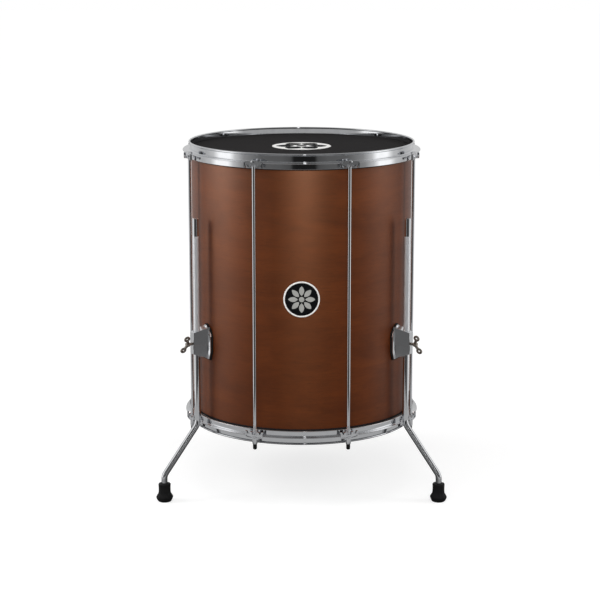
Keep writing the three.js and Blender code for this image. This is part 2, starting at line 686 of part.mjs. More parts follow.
// Rods, each with a claw at both ends and a nut below
const claw = clawGeometry();
const tensionRod = rodGeometry();
const nut = nutGeometry();
rodAzimuths.forEach((azimuth, i) => {
  const number = i + 1;
  placeRound(`tension_rod_${number}`, tensionRod, chrome, azimuth, rodCircleRadius);
  placeRound(`tension_nut_${number}`, nut, chrome, azimuth, rodCircleRadius);
  const upper = placeRound(`top_claw_${number}`, claw, chrome, azimuth, rodCircleRadius);
  upper.position.z = upperLedgeHeight;
  const lower = placeRound(`bottom_claw_${number}`, claw, chrome, azimuth, rodCircleRadius);
  lower.position.z = lowerLedgeHeight;
  lower.rotation.x = Math.PI;
});

// Legs with their feet, brackets, gaskets, fixings and wing bolts
const leg = legGeometry();
const foot = footGeometry();
const fixing = fixingGeometry();
LEG_AZIMUTHS.forEach((azimuth, i) => {
  const number = i + 1;
  placeRound(`leg_${number}`, leg, chrome, azimuth);
  placeRound(`foot_${number}`, foot, blackRubber, azimuth, footCircleRadius);
  place(`leg_bracket_${number}`, bracketGeometry(azimuth), chrome);
  place(`bracket_gasket_${number}`, gasketGeometry(azimuth), blackRubber);
  placeRound(`bracket_fixing_${number}`, fixing, zincSteel, azimuth);
  placeRound(`wing_bolt_${number}`, wingBoltGeometry(WING_TILTS[i]), nickel, azimuth);
});

// The origin is on the floor, under the middle of the whole drum on its legs
const extent = new THREE.Box3().setFromObject(assembly, true);
const middle = extent.getCenter(new THREE.Vector3());
assembly.position.set(-middle.x, -middle.y, -extent.min.z);

const surdo = new THREE.Group();
surdo.add(assembly);

export default surdo;
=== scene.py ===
# %% [markdown]
# A surdo is a deep bass drum: a stained wooden shell, a black skin at each end, two pressed steel
# hoops, and eight long rods that pull the hoops together. It stands on three sliding legs.
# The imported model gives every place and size. This lesson dresses it, one kind of piece at a time,
# with the tools that one would use by hand: add, extrude, spin, inset, bisect and bevel.

# %% Load the frame
import math

import bmesh
import bpy
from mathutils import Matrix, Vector


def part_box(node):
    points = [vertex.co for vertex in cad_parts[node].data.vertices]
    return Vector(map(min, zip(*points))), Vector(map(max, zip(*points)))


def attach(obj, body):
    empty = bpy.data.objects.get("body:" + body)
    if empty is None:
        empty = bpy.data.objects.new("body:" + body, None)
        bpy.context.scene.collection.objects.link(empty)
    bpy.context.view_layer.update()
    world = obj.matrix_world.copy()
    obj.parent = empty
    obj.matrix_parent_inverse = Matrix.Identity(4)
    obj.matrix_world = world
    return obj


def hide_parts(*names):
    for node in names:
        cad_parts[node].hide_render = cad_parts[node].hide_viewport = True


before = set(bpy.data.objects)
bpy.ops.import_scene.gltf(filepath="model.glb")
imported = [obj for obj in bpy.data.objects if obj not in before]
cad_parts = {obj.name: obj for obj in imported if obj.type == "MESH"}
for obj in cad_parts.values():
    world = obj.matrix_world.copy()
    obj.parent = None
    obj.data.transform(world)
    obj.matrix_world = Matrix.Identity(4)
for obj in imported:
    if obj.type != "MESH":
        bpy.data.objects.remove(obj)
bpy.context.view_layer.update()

MM = 0.001
WELD = 0.005 * MM

# %% [markdown]
# Everything on a drum is measured from its axis, so the first step reads the driving sizes off the
# solids: the axis, the shell's radius and ends, the hoops' edges, and where rods and legs stand.

# %% Measure the drum
shell_low, shell_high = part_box("shell")
AXIS = Vector(((shell_low.x + shell_high.x) / 2, (shell_low.y + shell_high.y) / 2, 0))
SHELL_RADIUS = (shell_high.x - shell_low.x) / 2
SHELL_BOTTOM, SHELL_TOP = shell_low.z, shell_high.z
SHELL_MIDDLE = (SHELL_BOTTOM + SHELL_TOP) / 2
hoop_low, hoop_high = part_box("top_hoop")
RIM_TOP, SKIRT_END = hoop_high.z, hoop_low.z
FLANGE_RADIUS = (hoop_high.x - hoop_low.x) / 2
ROD_COUNT = sum(name.startswith("tension_rod_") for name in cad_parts)
LEG_COUNT = sum(name.startswith("foot_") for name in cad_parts)


def middle(solid):
    low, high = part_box(solid)
    return (low + high) / 2


def azimuth_of(solid):
    """Degrees round the drum from the front, positive towards +X."""
    out = middle(solid) - AXIS
    return math.degrees(math.atan2(out.x, -out.y))


def reach_of(solid):
    """How far the middle of a solid is from the drum's axis."""
    out = middle(solid) - AXIS
    return math.hypot(out.x, out.y)


ROD_CIRCLE = reach_of("tension_rod_1")
FOOT_CIRCLE = reach_of("foot_1")
print("shell radius", round(SHELL_RADIUS, 4))
print("rods at", round(ROD_CIRCLE, 4), "and feet at", round(FOOT_CIRCLE, 4), "from the axis")

# %% [markdown]
# The photograph was taken from the height of a standing person's chest, from nearly four metres
# away with a long lens. The camera's height, pitch and lens were fitted to the ovals that the two
# hoops make in it. The camera comes first, because it decides what deserves the finest work.

# %% Camera
CAMERA_DISTANCE = 3.676
CAMERA_HEIGHT = 1.169
CAMERA_PITCH = 12.05
FOCAL_PIXELS = 1780
FRAME_PIXELS = 600
SENSOR = 36
SIDE_STEP = 3.2 * MM

bpy.ops.object.camera_add(
    location=(AXIS.x - SIDE_STEP, AXIS.y - CAMERA_DISTANCE, CAMERA_HEIGHT),
    rotation=(math.radians(90 - CAMERA_PITCH), 0, 0),
)
camera = bpy.context.object
camera.name = "camera"
camera.data.sensor_width = SENSOR
camera.data.lens = FOCAL_PIXELS * SENSOR / FRAME_PIXELS
bpy.context.scene.camera = camera
print("lens", round(camera.data.lens, 1), "mm")

# %% [markdown]
# Helpers for modelling. Each operator acts on all that is selected, so the first ones select one
# piece, open it for editing and leave it again.

# %% Selecting and editing


def deselect():
    bpy.ops.object.select_all(action="DESELECT")


def select_only(*pieces):
    deselect()
    for piece in pieces:
        piece.select_set(True)
    bpy.context.view_layer.objects.active = pieces[0]


def edit(piece):
    select_only(piece)
    bpy.ops.object.mode_set(mode="EDIT")
    bpy.ops.mesh.select_mode(type="VERT")


def leave_edit():
    bpy.ops.object.mode_set(mode="OBJECT")


def extrude(x=0.0, y=0.0, z=0.0):
    """Extrude what is selected and move the new part."""
    bpy.ops.mesh.extrude_region_move(TRANSFORM_OT_translate={"value": (x, y, z)})


def named(piece, name):
    piece.name = piece.data.name = name
    return piece


print("editing helpers ready")

# %% [markdown]
# A section is drawn as a modeller draws it: one vertex, extruded from point to point. Spun round an
# axis it is a turned or pressed part, and filled and extruded it is a plate. This suits a drum,
# where nearly every part was spun, turned, pressed or cut from sheet.

# %% Sections, spun parts and plates


def chain(name, points):
    """A wire from point to point, left in edit mode with all of it selected."""
    deselect()
    bpy.ops.mesh.primitive_plane_add(size=MM)
    piece = named(bpy.context.object, name)
    bpy.ops.object.mode_set(mode="EDIT")
    bpy.ops.mesh.select_mode(type="VERT")
    bpy.ops.mesh.merge(type="CENTER")
    bpy.ops.transform.translate(value=points[0])
    for here, there in zip(points, points[1:]):
        extrude(*(Vector(there) - Vector(here)))
    bpy.ops.mesh.select_all(action="SELECT")
    bpy.ops.mesh.remove_doubles(threshold=WELD)
    return piece


def close_up():
    """Merge what coincides and turn all faces outwards, then leave edit mode."""
    bpy.ops.mesh.select_all(action="SELECT")
    bpy.ops.mesh.remove_doubles(threshold=WELD)
    bpy.ops.mesh.normals_make_consistent(inside=False)
    leave_edit()


def spun(name, section, steps, at=(0, 0, 0)):
    """A solid of revolution about a vertical axis. The section is [radius, height] pairs in metres."""
    on_axis = section[0][0] == 0 and section[-1][0] == 0
    points = section if on_axis else section + section[:1]
    piece = chain(name, [(at[0] + r, at[1], z) for r, z in points])
    bpy.ops.mesh.spin(steps=steps, angle=2 * math.pi, center=at, axis=(0, 0, 1), use_auto_merge=True)
    close_up()
    return piece


def plate(name, outline, near, far):
    """A plate with an outline of [across, height] pairs, between two distances in front of the axis."""
    piece = chain(name, [(x, -far, z) for x, z in outline + outline[:1]])
    bpy.ops.mesh.edge_face_add()
    extrude(y=far - near)
    close_up()
    return piece


def arc(centre, radius, start, end, steps):
    """Points of a circular arc, from one angle to another, in degrees."""
    angles = [math.radians(start + (end - start) * i / steps) for i in range(steps + 1)]
    return [(centre[0] + radius * math.cos(a), centre[1] + radius * math.sin(a)) for a in angles]


def in_mm(points):
    return [tuple(MM * value for value in point) for point in points]


print("section helpers ready")

# %% [markdown]
# Modifiers finish a piece: bevels round its edges and booleans drill it. Each is applied at once, so
# that the next step works on real faces. A part that repeats is modelled once, at the front of the
# drum, and copied round to its own place.

# %% Modifiers and copies


def modify(piece, kind, **settings):
    """Add a modifier, set it and apply it."""
    select_only(piece)
    bpy.ops.object.modifier_add(type=kind)
    modifier = piece.modifiers[-1]
    for key, value in settings.items():
        setattr(modifier, key, value)
    bpy.ops.object.modifier_apply(modifier=modifier.name)
    return piece


def bevel(piece, width, segments=2, angle=35):
    """Round the edges where the surface turns by more than an angle, in degrees."""
    limits = {"limit_method": "ANGLE", "angle_limit": math.radians(angle)}
    return modify(piece, "BEVEL", width=width, segments=segments, **limits)


def cut(piece, *tools):
    """Subtract the tools, then throw them away."""
    for tool in tools:
        modify(piece, "BOOLEAN", object=tool, operation="DIFFERENCE", solver="EXACT")
        bpy.data.objects.remove(tool)
    return piece


def join(piece, *others):
    select_only(piece, *others)
    bpy.ops.object.join()
    return piece


def smooth(piece, angle=35):
    """Smooth shading with sharp corners. Large faces stay flat beside their small rounded edges."""
    select_only(piece)
    bpy.ops.object.shade_smooth_by_angle(angle=math.radians(angle))
    return modify(piece, "WEIGHTED_NORMAL", mode="FACE_AREA", weight=50, keep_sharp=True)


def pipe(name, radius, low, high, at=(0, 0), sides=48):
    """A round bar for cutting holes."""
    deselect()
    bpy.ops.mesh.primitive_cylinder_add(
        vertices=sides, radius=radius, depth=high - low, location=(at[0], at[1], (low + high) / 2)
    )
    bpy.ops.object.transform_apply(location=True)
    return named(bpy.context.object, name)


def copy_to(master, name, azimuth, height=0, roll=0):
    """A copy with its own mesh, turned round the drum to an azimuth, with its place in its mesh."""
    select_only(master)
    bpy.ops.object.duplicate()
    piece = named(bpy.context.object, name)
    piece.rotation_euler = (0, math.radians(roll), math.radians(azimuth))
    piece.location = (AXIS.x, AXIS.y, height)
    bpy.ops.object.transform_apply(location=True, rotation=True, scale=True)
    return piece


def remove(*masters):
    for master in masters:
        bpy.data.objects.remove(master)


def dress(piece, body, slot, *nodes):
    """Say what carries the piece and which solids it stands for. The slot, which names its finish, is not
    used.
    """
    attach(piece, body)
    if nodes:
        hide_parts(*nodes)


print("modifier helpers ready")

# %% [markdown]
# Materials. Each is a Principled BSDF whose colour, roughness and bump come from noises on Object
# coordinates, in metres, so that one number is a real size. A short helper adds and links nodes.

# %% Material helpers


def new_material(name, **shader):
    """A material, and its Principled shader with plain socket values set."""
    made = bpy.data.materials.new(name)
    made.use_nodes = True
    surface = made.node_tree.nodes["Principled BSDF"]
    for socket, value in shader.items():
        surface.inputs[socket.replace("_", " ")].default_value = value
    return made, surface


def node(made, kind, links=None, values=None, **settings):
    """A node with its settings, its unlinked values, and its links from other nodes' sockets."""
    new = made.node_tree.nodes.new(kind)
    for key, value in settings.items():
        setattr(new, key, value)
    for key, value in (values or {}).items():
        new.inputs[key].default_value = value
    for key, socket in (links or {}).items():
        made.node_tree.links.new(socket, new.inputs[key])
    return new


def where(made, scale=(1, 1, 1)):
    """Object coordinates about the drum's axis, scaled along each axis."""
    place = node(made, "ShaderNodeTexCoord").outputs["Object"]
    centred = node(made, "ShaderNodeMapping", {"Vector": place}, {"Location": (-AXIS.x, -AXIS.y, 0)})
    return node(made, "ShaderNodeMapping", {"Vector": centred.outputs[0]}, {"Scale": scale}).outputs[0]


def noise(made, vector, scale, detail=3, rough=0.5, distortion=0):
    """A noise from 0 to 1. The scale is in lumps per metre."""
    values = {"Scale": scale, "Detail": detail, "Roughness": rough, "Distortion": distortion}
    return node(made, "ShaderNodeTexNoise", {"Vector": vector}, values).outputs["Fac"]


def between(made, factor, low, high, start=0.3, end=0.7):
    """Map a value's range, from start to end, to a range of its own, from low to high."""
    values = {"From Min": start, "From Max": end, "To Min": low, "To Max": high}
    return node(made, "ShaderNodeMapRange", {"Value": factor}, values).outputs["Result"]


def blend_colours(made, factor, first, second, kind="MIX"):
    """Mix two colours, each a tuple or another node's socket."""
    mixer = node(made, "ShaderNodeMix", data_type="RGBA", blend_type=kind)
    for index, value in ((0, factor), (6, first), (7, second)):
        if isinstance(value, (tuple, float, int)):
            mixer.inputs[index].default_value = value
        else:
            made.node_tree.links.new(value, mixer.inputs[index])
    return mixer.outputs[2]


def bump(made, surface, height, distance, strength=1.0):
    lumps = node(made, "ShaderNodeBump", {"Height": height}, {"Distance": distance, "Strength": strength})
    made.node_tree.links.new(lumps.outputs[0], surface.inputs["Normal"])


def feed(made, surface, **sockets):
    for name, socket in sockets.items():
        made.node_tree.links.new(socket, surface.inputs[name.replace("_", " ")])


def put_on(piece, *materials):
    piece.data.materials.clear()
    for made in materials:
        piece.data.materials.append(made)


print("material helpers ready")

# %% [markdown]
# The shell's stain is reddish brown and a little cloudy, over thin horizontal grain. Object
# coordinates scaled up in height squeeze every noise into level streaks that run round the drum.
# The pattern is solid, so it has no seam, where one laid out by the angle round the drum would have
# one. A thin satin coat lies over it, and the light that the fibres throw back through it is warm,
# so the shader's own highlight is tinted under the coat.

# %% Stained wood
STAIN_DEEP = (0.055, 0.0094, 0.0010, 1)
STAIN_WARM = (0.098, 0.0200, 0.0025, 1)
STAIN_PORE = (0.021, 0.0037, 0.0008, 1)
UNDER_LACQUER = (1.0, 0.44, 0.22, 1)


def stained_wood():
    made, surface = new_material(
        "stained_wood", Coat_Weight=0.08, Coat_Roughness=0.29, Specular_IOR_Level=0.42
    )
    surface.inputs["Specular Tint"].default_value = UNDER_LACQUER
    clouds = noise(made, where(made, (1, 1, 2.6)), 7, 4, 0.55, 0.6)
    bands = noise(made, where(made, (1, 1, 16)), 5, 3, 0.6, 0.3)
    grain = noise(made, where(made, (1, 1, 22)), 34, 5, 0.65)
    pores = noise(made, where(made, (1, 1, 14)), 95, 2, 0.6)
    colour = blend_colours(made, between(made, clouds, 0, 1, 0.32, 0.68), STAIN_DEEP, STAIN_WARM)
    colour = blend_colours(made, between(made, bands, 0, 0.45, 0.45, 0.75), colour, STAIN_DEEP)
    colour = blend_colours(made, between(made, grain, 0, 0.55, 0.5, 0.78), colour, STAIN_PORE)
    colour = blend_colours(made, between(made, pores, 0, 0.6, 0.6, 0.72), colour, STAIN_PORE)
    feed(made, surface, Base_Color=colour, Roughness=between(made, grain, 0.39, 0.47))
    bump(made, surface, grain, 0.05 * MM, 0.5)
    return made


wood = stained_wood()
print("stain", STAIN_DEEP[:3], "to", STAIN_WARM[:3])

# %% [markdown]
# Metals. Chrome is a mirror, so what tells it from a computer's mirror is a trace of handling: the
# roughness drifts a little, and pressed steel is never quite even. The crests of a knurl throw
# light back from everywhere, so their plating is half a mirror and half a pale matt surface. The
# wing bolts are warm nickel, and the parts inside the shell are plain zinc or aluminium.

# %% Metals
CHROME = (0.80, 0.81, 0.83, 1)


def metal(name, colour, shine, spread, ripple=0.0, stain=0.06, mirror=1.0):
    """Plated metal. Its roughness drifts up from its shine by the spread. Pressed parts ripple."""
    made, surface = new_material(name, Metallic=mirror)
    smudge = noise(made, where(made), 60, 4, 0.6)
    dark = tuple(channel * (1 - stain) for channel in colour[:3]) + (1,)
    fine = noise(made, where(made), 420, 2, 0.5)
    feed(
        made,
        surface,
        Base_Color=blend_colours(made, between(made, smudge, 0, 1), colour, dark),
        Roughness=between(made, smudge, shine, shine + spread),
    )
    lumps = noise(made, where(made, (1, 1, 0.6)), 26, 2, 0.4) if ripple else fine
    bump(made, surface, lumps, (ripple or 0.02) * MM, 0.35)
    return made


chrome = metal("chrome", CHROME, 0.045, 0.07)
hoop_chrome = metal("hoop_chrome", CHROME, 0.03, 0.04, ripple=0.35)
knurl_chrome = metal("knurl_chrome", CHROME, 0.16, 0.10, mirror=0.55)
nickel = metal("nickel", (0.40, 0.355, 0.31, 1), 0.12, 0.12)
zinc = metal("zinc_steel", (0.60, 0.61, 0.62, 1), 0.30, 0.15)
aluminium = metal("aluminium", (0.66, 0.67, 0.69, 1), 0.34, 0.14)
print("metals made")

# %% [markdown]
# Soft blacks and whites. The skin is synthetic leather with small rounded pebbles. Rubber has a
# dusty, slightly uneven face. Pebbles and dust come from a cell pattern and from noises, so neither
# repeats.

# %% Skin and rubber
SKIN_DEEP = (0.0135, 0.0125, 0.0130, 1)
SKIN_PALE = (0.021, 0.0195, 0.0200, 1)
SKIN_CRESTS = (0.034, 0.032, 0.032, 1)
PEBBLES_PER_METRE = 520.0
RUBBER_CLEAN = (0.0045, 0.0045, 0.0048, 1)
RUBBER_DUSTY = (0.0105, 0.0105, 0.011, 1)


def black_skin():
    made, surface = new_material("black_skin", Specular_IOR_Level=0.04)
    cells = {"Scale": PEBBLES_PER_METRE, "Randomness": 0.9}
    pebbles = node(made, "ShaderNodeTexVoronoi", {"Vector": where(made)}, cells)
    height = between(made, pebbles.outputs["Distance"], 1, 0, 0.1, 0.7)
    broad = noise(made, where(made), 9, 3, 0.5)
    colour = blend_colours(made, between(made, broad, 0, 1), SKIN_DEEP, SKIN_PALE)
    worn = blend_colours(made, between(made, height, 0, 0.35, 0.2, 0.9), colour, SKIN_CRESTS)
    feed(made, surface, Base_Color=worn, Roughness=between(made, broad, 0.74, 0.86))
    bump(made, surface, height, 0.18 * MM, 0.7)
    return made


def black_rubber():
    made, surface = new_material("black_rubber", Specular_IOR_Level=0.22)
    grain = noise(made, where(made), 900, 3, 0.6)
    dust = noise(made, where(made), 70, 4, 0.6)
    colour = blend_colours(made, between(made, dust, 0, 1), RUBBER_CLEAN, RUBBER_DUSTY)
    feed(made, surface, Base_Color=colour, Roughness=between(made, dust, 0.50, 0.68))
    bump(made, surface, grain, 0.05 * MM, 0.6)
    return made


skin = black_skin()
rubber = black_rubber()
print("skin", SKIN_DEEP[:3], "to", SKIN_CRESTS[:3])

# %% [markdown]
# The white print, the badge's rim, its black face and both motifs are paints. One helper makes them
# all, since a paint is two close colours in a fine mottle, with a shine that drifts along with it.

# %% Print and enamel


def paint(name, colour, shade, shine, coat=0.0, fine=260.0, level=0.5):
    """A paint or print finish with a faint mottle and orange peel."""
    made, surface = new_material(name, Coat_Weight=coat, Coat_Roughness=0.08, Specular_IOR_Level=level)
    mottle = noise(made, where(made), fine, 3, 0.5)
    mixed = blend_colours(made, between(made, mottle, 0, 1), colour + (1,), shade + (1,))
    feed(made, surface, Base_Color=mixed, Roughness=between(made, mottle, shine, shine + 0.1))
    bump(made, surface, mottle, 0.03 * MM, 0.4)
    return made


white_print = paint("white_print", (0.94, 0.93, 0.91), (0.89, 0.88, 0.86), 0.42)
black_print = paint("black_print", (0.006, 0.006, 0.006), (0.011, 0.011, 0.011), 0.75, level=0.1)
rim_enamel = paint("rim_enamel", (0.93, 0.92, 0.90), (0.88, 0.87, 0.85), 0.26, coat=0.3)
black_enamel = paint("black_enamel", (0.004, 0.004, 0.005), (0.006, 0.006, 0.007), 0.30, level=0.12)
silver_print = paint("silver_print", (0.42, 0.42, 0.40), (0.37, 0.37, 0.35), 0.42, fine=900.0)
print("painted finishes made")

# %% [markdown]
# The shell is a rolled plywood tube. Its ends are cut to a bearing edge: a small round outside, a
# flat land, and a slope inside. Spinning the whole section closes inner and outer wall at once.

# %% Shell
SHELL_WALL = 8 * MM
RING_STEPS = 240
EDGE_ROUND = 1.5 * MM
EDGE_LAND = 1.5 * MM
EDGE_SLOPE = 5 * MM


def mirrored(section):
    """The same section at the drum's lower end."""
    return [(r, 2 * SHELL_MIDDLE - z) for r, z in section]


ROUND_RADIUS = SHELL_RADIUS - EDGE_ROUND
ROUND_CENTRE = (ROUND_RADIUS, SHELL_TOP - EDGE_ROUND)
edge = arc(ROUND_CENTRE, EDGE_ROUND, 0, 90, 5)
edge += [(ROUND_RADIUS - EDGE_LAND, SHELL_TOP), (SHELL_RADIUS - SHELL_WALL, SHELL_TOP - EDGE_SLOPE)]
shell = smooth(spun("shell_wood", mirrored(edge)[::-1] + edge, RING_STEPS, AXIS))
put_on(shell, wood)
dress(shell, "drum", "stained_wood", "shell")
print("shell faces", len(shell.data.polygons))

# %% [markdown]
# The skins are lapped on square flesh hoops and pulled down over the bearing edge. The sheet is
# 0.6 mm thick, so its section goes out along the underside and back along the top. It reaches a
# little past the hoop's skirt, where its black edge is painted shade: a thin dark line against the wood.

# %% Skins and flesh hoops
GAP = 0.3 * MM
SKIN_THICKNESS = 0.6 * MM
FLESH_WIDTH = 6.6 * MM
flesh_low, flesh_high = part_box("top_flesh_hoop")
SKIN_INSIDE = SHELL_RADIUS + GAP
SKIN_OUTSIDE = SKIN_INSIDE + SKIN_THICKNESS
FLESH_INSIDE = SKIN_OUTSIDE + GAP
FLESH_ROUND = 1.2 * MM
SKIN_RING_SHARES = (0.85, 0.6, 0.3)
# How far each skin's black edge reaches below its hoop's skirt, as a painted line of shade
TOP_SHADE_LIP, BOTTOM_SHADE_LIP = 2.8 * MM, 1.7 * MM


def skin_section(shows):
    """The top skin's section. Its edge reaches below the hoop's skirt by a given height, as painted shade.
    """
    skin_end = SKIRT_END - shows
    under = SHELL_TOP + GAP
    round_out = EDGE_ROUND + GAP
    shoulder = arc(ROUND_CENTRE, round_out, 90, 0, 5)
    top = arc(ROUND_CENTRE, round_out + SKIN_THICKNESS, 0, 90, 5)
    below = [(0, under)] + shoulder + [(SKIN_INSIDE, skin_end)]
    rings = [(ROUND_RADIUS * share, under + SKIN_THICKNESS) for share in SKIN_RING_SHARES]
    return below + [(SKIN_OUTSIDE, skin_end)] + top + rings + [(0, under + SKIN_THICKNESS)]


def flesh_section():
    outside = FLESH_INSIDE + FLESH_WIDTH
    low = arc((outside - FLESH_ROUND, flesh_low.z + FLESH_ROUND), FLESH_ROUND, -90, 0, 4)
    return [(FLESH_INSIDE, flesh_low.z)] + low + [(outside, flesh_high.z), (FLESH_INSIDE, flesh_high.z)]


for end, flip, shows in (("top", list, TOP_SHADE_LIP), ("bottom", mirrored, BOTTOM_SHADE_LIP)):
    head = smooth(spun(f"{end}_skin", flip(skin_section(shows)), RING_STEPS, AXIS))
    put_on(head, skin)
    dress(head, "drum", "black_skin", f"{end}_head")
    lapped = smooth(spun(f"{end}_lapping_ring", flip(flesh_section()), RING_STEPS, AXIS))
    put_on(lapped, aluminium)
    dress(lapped, "drum", "aluminium", f"{end}_flesh_hoop")
print("skin radius", round(SKIN_OUTSIDE, 4))

# %% [markdown]
# A hoop is one strip of steel pressed to a step: a collar with a rolled rim, a ledge that presses
# on the skin, a skirt round the flesh hoop, and a flange that carries the claws. The photograph
# shows thin bright lines along it. They are the rounded rim, ledge and hem, so each is a real arc.
# Inside, the collar opens a little towards its rim. Each rod goes through a hole in the flange, and
# all the holes of a hoop are drilled by one boolean.

# %% Hoops
HOOP_GAP = 0.4 * MM
COLLAR_WALL = 1.6 * MM
COLLAR_INSIDE = SKIN_OUTSIDE + HOOP_GAP
COLLAR_OUTSIDE = COLLAR_INSIDE + COLLAR_WALL
RIM_ROUND = 2 * MM
FLARE = 1.1 * MM
FLARE_LOW, FLARE_HIGH = 15.5 * MM, 3.6 * MM
BEAD_HEIGHT = 2.3 * RIM_ROUND
COLLAR_HEIGHT = 17 * MM
LEDGE_TOP = RIM_TOP - COLLAR_HEIGHT
FLANGE_HALF = 1 * MM
LEDGE_FILLET = 1.4 * MM
SKIRT_INSIDE = FLESH_INSIDE + FLESH_WIDTH + HOOP_GAP
SKIRT_HALF = 0.85 * MM
SKIRT_OUTSIDE = SKIRT_INSIDE + 2 * SKIRT_HALF
SKIRT_FILLET = 1.2 * MM
ROD_RADIUS = 3.25 * MM
BORE_GAP = 0.4 * MM
HOLE_RADIUS = ROD_RADIUS + BORE_GAP
HOLE_REACH = 4 * MM


def hoop_section():
    underside = LEDGE_TOP - 2 * FLANGE_HALF
    hem = arc((SKIRT_INSIDE + SKIRT_HALF, SKIRT_END + SKIRT_HALF), SKIRT_HALF, -180, 0, 8)
    inner_fillet = arc((SKIRT_OUTSIDE + SKIRT_FILLET, underside - SKIRT_FILLET), SKIRT_FILLET, 180, 90, 4)
    lip = arc((FLANGE_RADIUS - FLANGE_HALF, LEDGE_TOP - FLANGE_HALF), FLANGE_HALF, -90, 90, 8)
    fillet = arc((COLLAR_OUTSIDE + LEDGE_FILLET, LEDGE_TOP + LEDGE_FILLET), LEDGE_FILLET, -90, -180, 5)
    rim_centre = (COLLAR_INSIDE + RIM_ROUND, RIM_TOP - RIM_ROUND)
    rim = arc(rim_centre, RIM_ROUND, -80, 180, 16)
    rim += [(COLLAR_INSIDE + FLARE, RIM_TOP - FLARE_HIGH), (COLLAR_INSIDE, RIM_TOP - FLARE_LOW)]
    corner = [(COLLAR_INSIDE, underside), (SKIRT_INSIDE, underside)]
    neck = [(COLLAR_OUTSIDE, RIM_TOP - BEAD_HEIGHT)]
    return corner + hem + inner_fillet + lip + fillet + neck + rim


print("hoop section has", len(hoop_section()), "points")

# %% Spin and drill the hoops
rod_azimuths = [azimuth_of(f"tension_rod_{k}") for k in range(1, ROD_COUNT + 1)]
for end, flip, ledge in (("top", list, LEDGE_TOP), ("bottom", mirrored, 2 * SHELL_MIDDLE - LEDGE_TOP)):
    hoop = spun(f"{end}_steel_hoop", flip(hoop_section()), RING_STEPS, AXIS)
    bars = []
    for azimuth in rod_azimuths:
        bar = pipe("bar", HOLE_RADIUS, ledge - HOLE_REACH, ledge + HOLE_REACH, (0, -ROD_CIRCLE), 20)
        bars.append(copy_to(bar, "bar", azimuth))
        remove(bar)
    cut(hoop, join(*bars))
    smooth(hoop, 30)
    put_on(hoop, hoop_chrome)
    dress(hoop, "drum", "chrome", f"{end}_hoop")
    print(hoop.name, "faces", len(hoop.data.polygons))

# %% [markdown]
# Each rod hangs by its head from a claw. The end below is threaded: a triangular ridge is wound up
# the rod with a Screw modifier, so that the thread is real and not a stripe pattern.

# %% Thread helper
RIDGE_HALF_SHARE = 0.42


def thread(name, core, crest, pitch, turns, at, low, steps=14):
    """A helical ridge round a vertical axis, closed at both ends."""
    half = pitch * RIDGE_HALF_SHARE
    points = [(core, low), (crest, low + half), (core, low + 2 * half)]
    piece = chain(name, [(at[0] + r, at[1], z) for r, z in points + points[:1]])
    leave_edit()
    piece.location = (-at[0], -at[1], 0)
    bpy.ops.object.transform_apply(location=True)
    modify(
        piece, "SCREW", angle=2 * math.pi, screw_offset=pitch, iterations=turns, steps=steps,
        render_steps=steps, use_merge_vertices=False,
    )
    edit(piece)
    bpy.ops.mesh.select_all(action="DESELECT")
    bpy.ops.mesh.select_mode(type="EDGE")
    bpy.ops.mesh.select_non_manifold(extend=False)
    bpy.ops.mesh.edge_face_add()
    bpy.ops.mesh.select_mode(type="VERT")
    close_up()
    piece.location = (at[0], at[1], 0)
    bpy.ops.object.transform_apply(location=True)
    return piece


print("thread helper ready")

# %% Tension rods
rod_low, rod_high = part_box("tension_rod_1")
HEAD_RADIUS = 4.7 * MM
HEAD_HEIGHT = 2.6 * MM
HEAD_EDGE = 1.1 * MM
HEAD_CHAMFER = 0.4 * MM
THREAD_LENGTH = 48 * MM
THREAD_DEPTH = 0.35 * MM
THREAD_SINK = 0.05 * MM
THREAD_PITCH = 1 * MM
THREAD_START = 1.5 * MM
ROD_CHAMFER = 0.8 * MM
ROD_STEPS = 28
ROD_AT = (0, -ROD_CIRCLE, 0)

head_under = rod_high.z - HEAD_HEIGHT
thread_end = rod_low.z + THREAD_LENGTH
core = ROD_RADIUS - THREAD_DEPTH
section = [(0, rod_low.z), (core - ROD_CHAMFER, rod_low.z), (core, rod_low.z + ROD_CHAMFER)]
section += [(core, thread_end), (ROD_RADIUS, thread_end + ROD_CHAMFER), (ROD_RADIUS, head_under)]
section += [(HEAD_RADIUS - HEAD_CHAMFER, head_under), (HEAD_RADIUS, head_under + HEAD_CHAMFER)]
section += [(HEAD_RADIUS, head_under + HEAD_EDGE)]
for turned in range(15, 90, 15):
    angle = math.radians(turned)
    crown = (HEAD_HEIGHT - HEAD_EDGE) * math.sin(angle)
    section.append((HEAD_RADIUS * math.cos(angle), head_under + HEAD_EDGE + crown))
section.append((0, rod_high.z))
rod = spun("rod_master", section, ROD_STEPS, ROD_AT)
turns = round((THREAD_LENGTH - 2 * THREAD_START) / THREAD_PITCH)
thread_low = rod_low.z + THREAD_START
wound = thread("rod_thread", core - THREAD_SINK, ROD_RADIUS, THREAD_PITCH, turns, ROD_AT, thread_low)
rod = smooth(join(rod, wound), 30)
put_on(rod, chrome)
print("rod faces", len(rod.data.polygons), "turns of thread", turns)

# %% [markdown]
# A claw saddles the flange. Seen from outside it has a tip at each end and a lobe at each side of
# the rod, and its face is hollowed, which shows in the photograph as dark pockets between bright
# ridges. So its outline is filled and extruded, and the front face is inset and pushed in.

# %% Claw outline
claw_low, claw_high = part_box("top_claw_1")
CLAW_HALF = 19.2 * MM
CLAW_RISE = claw_high.z - LEDGE_TOP
CLAW_DROP = LEDGE_TOP - claw_low.z
CLAW_BACK = FLANGE_RADIUS + HOOP_GAP
CLAW_THICKNESS = 4.8 * MM
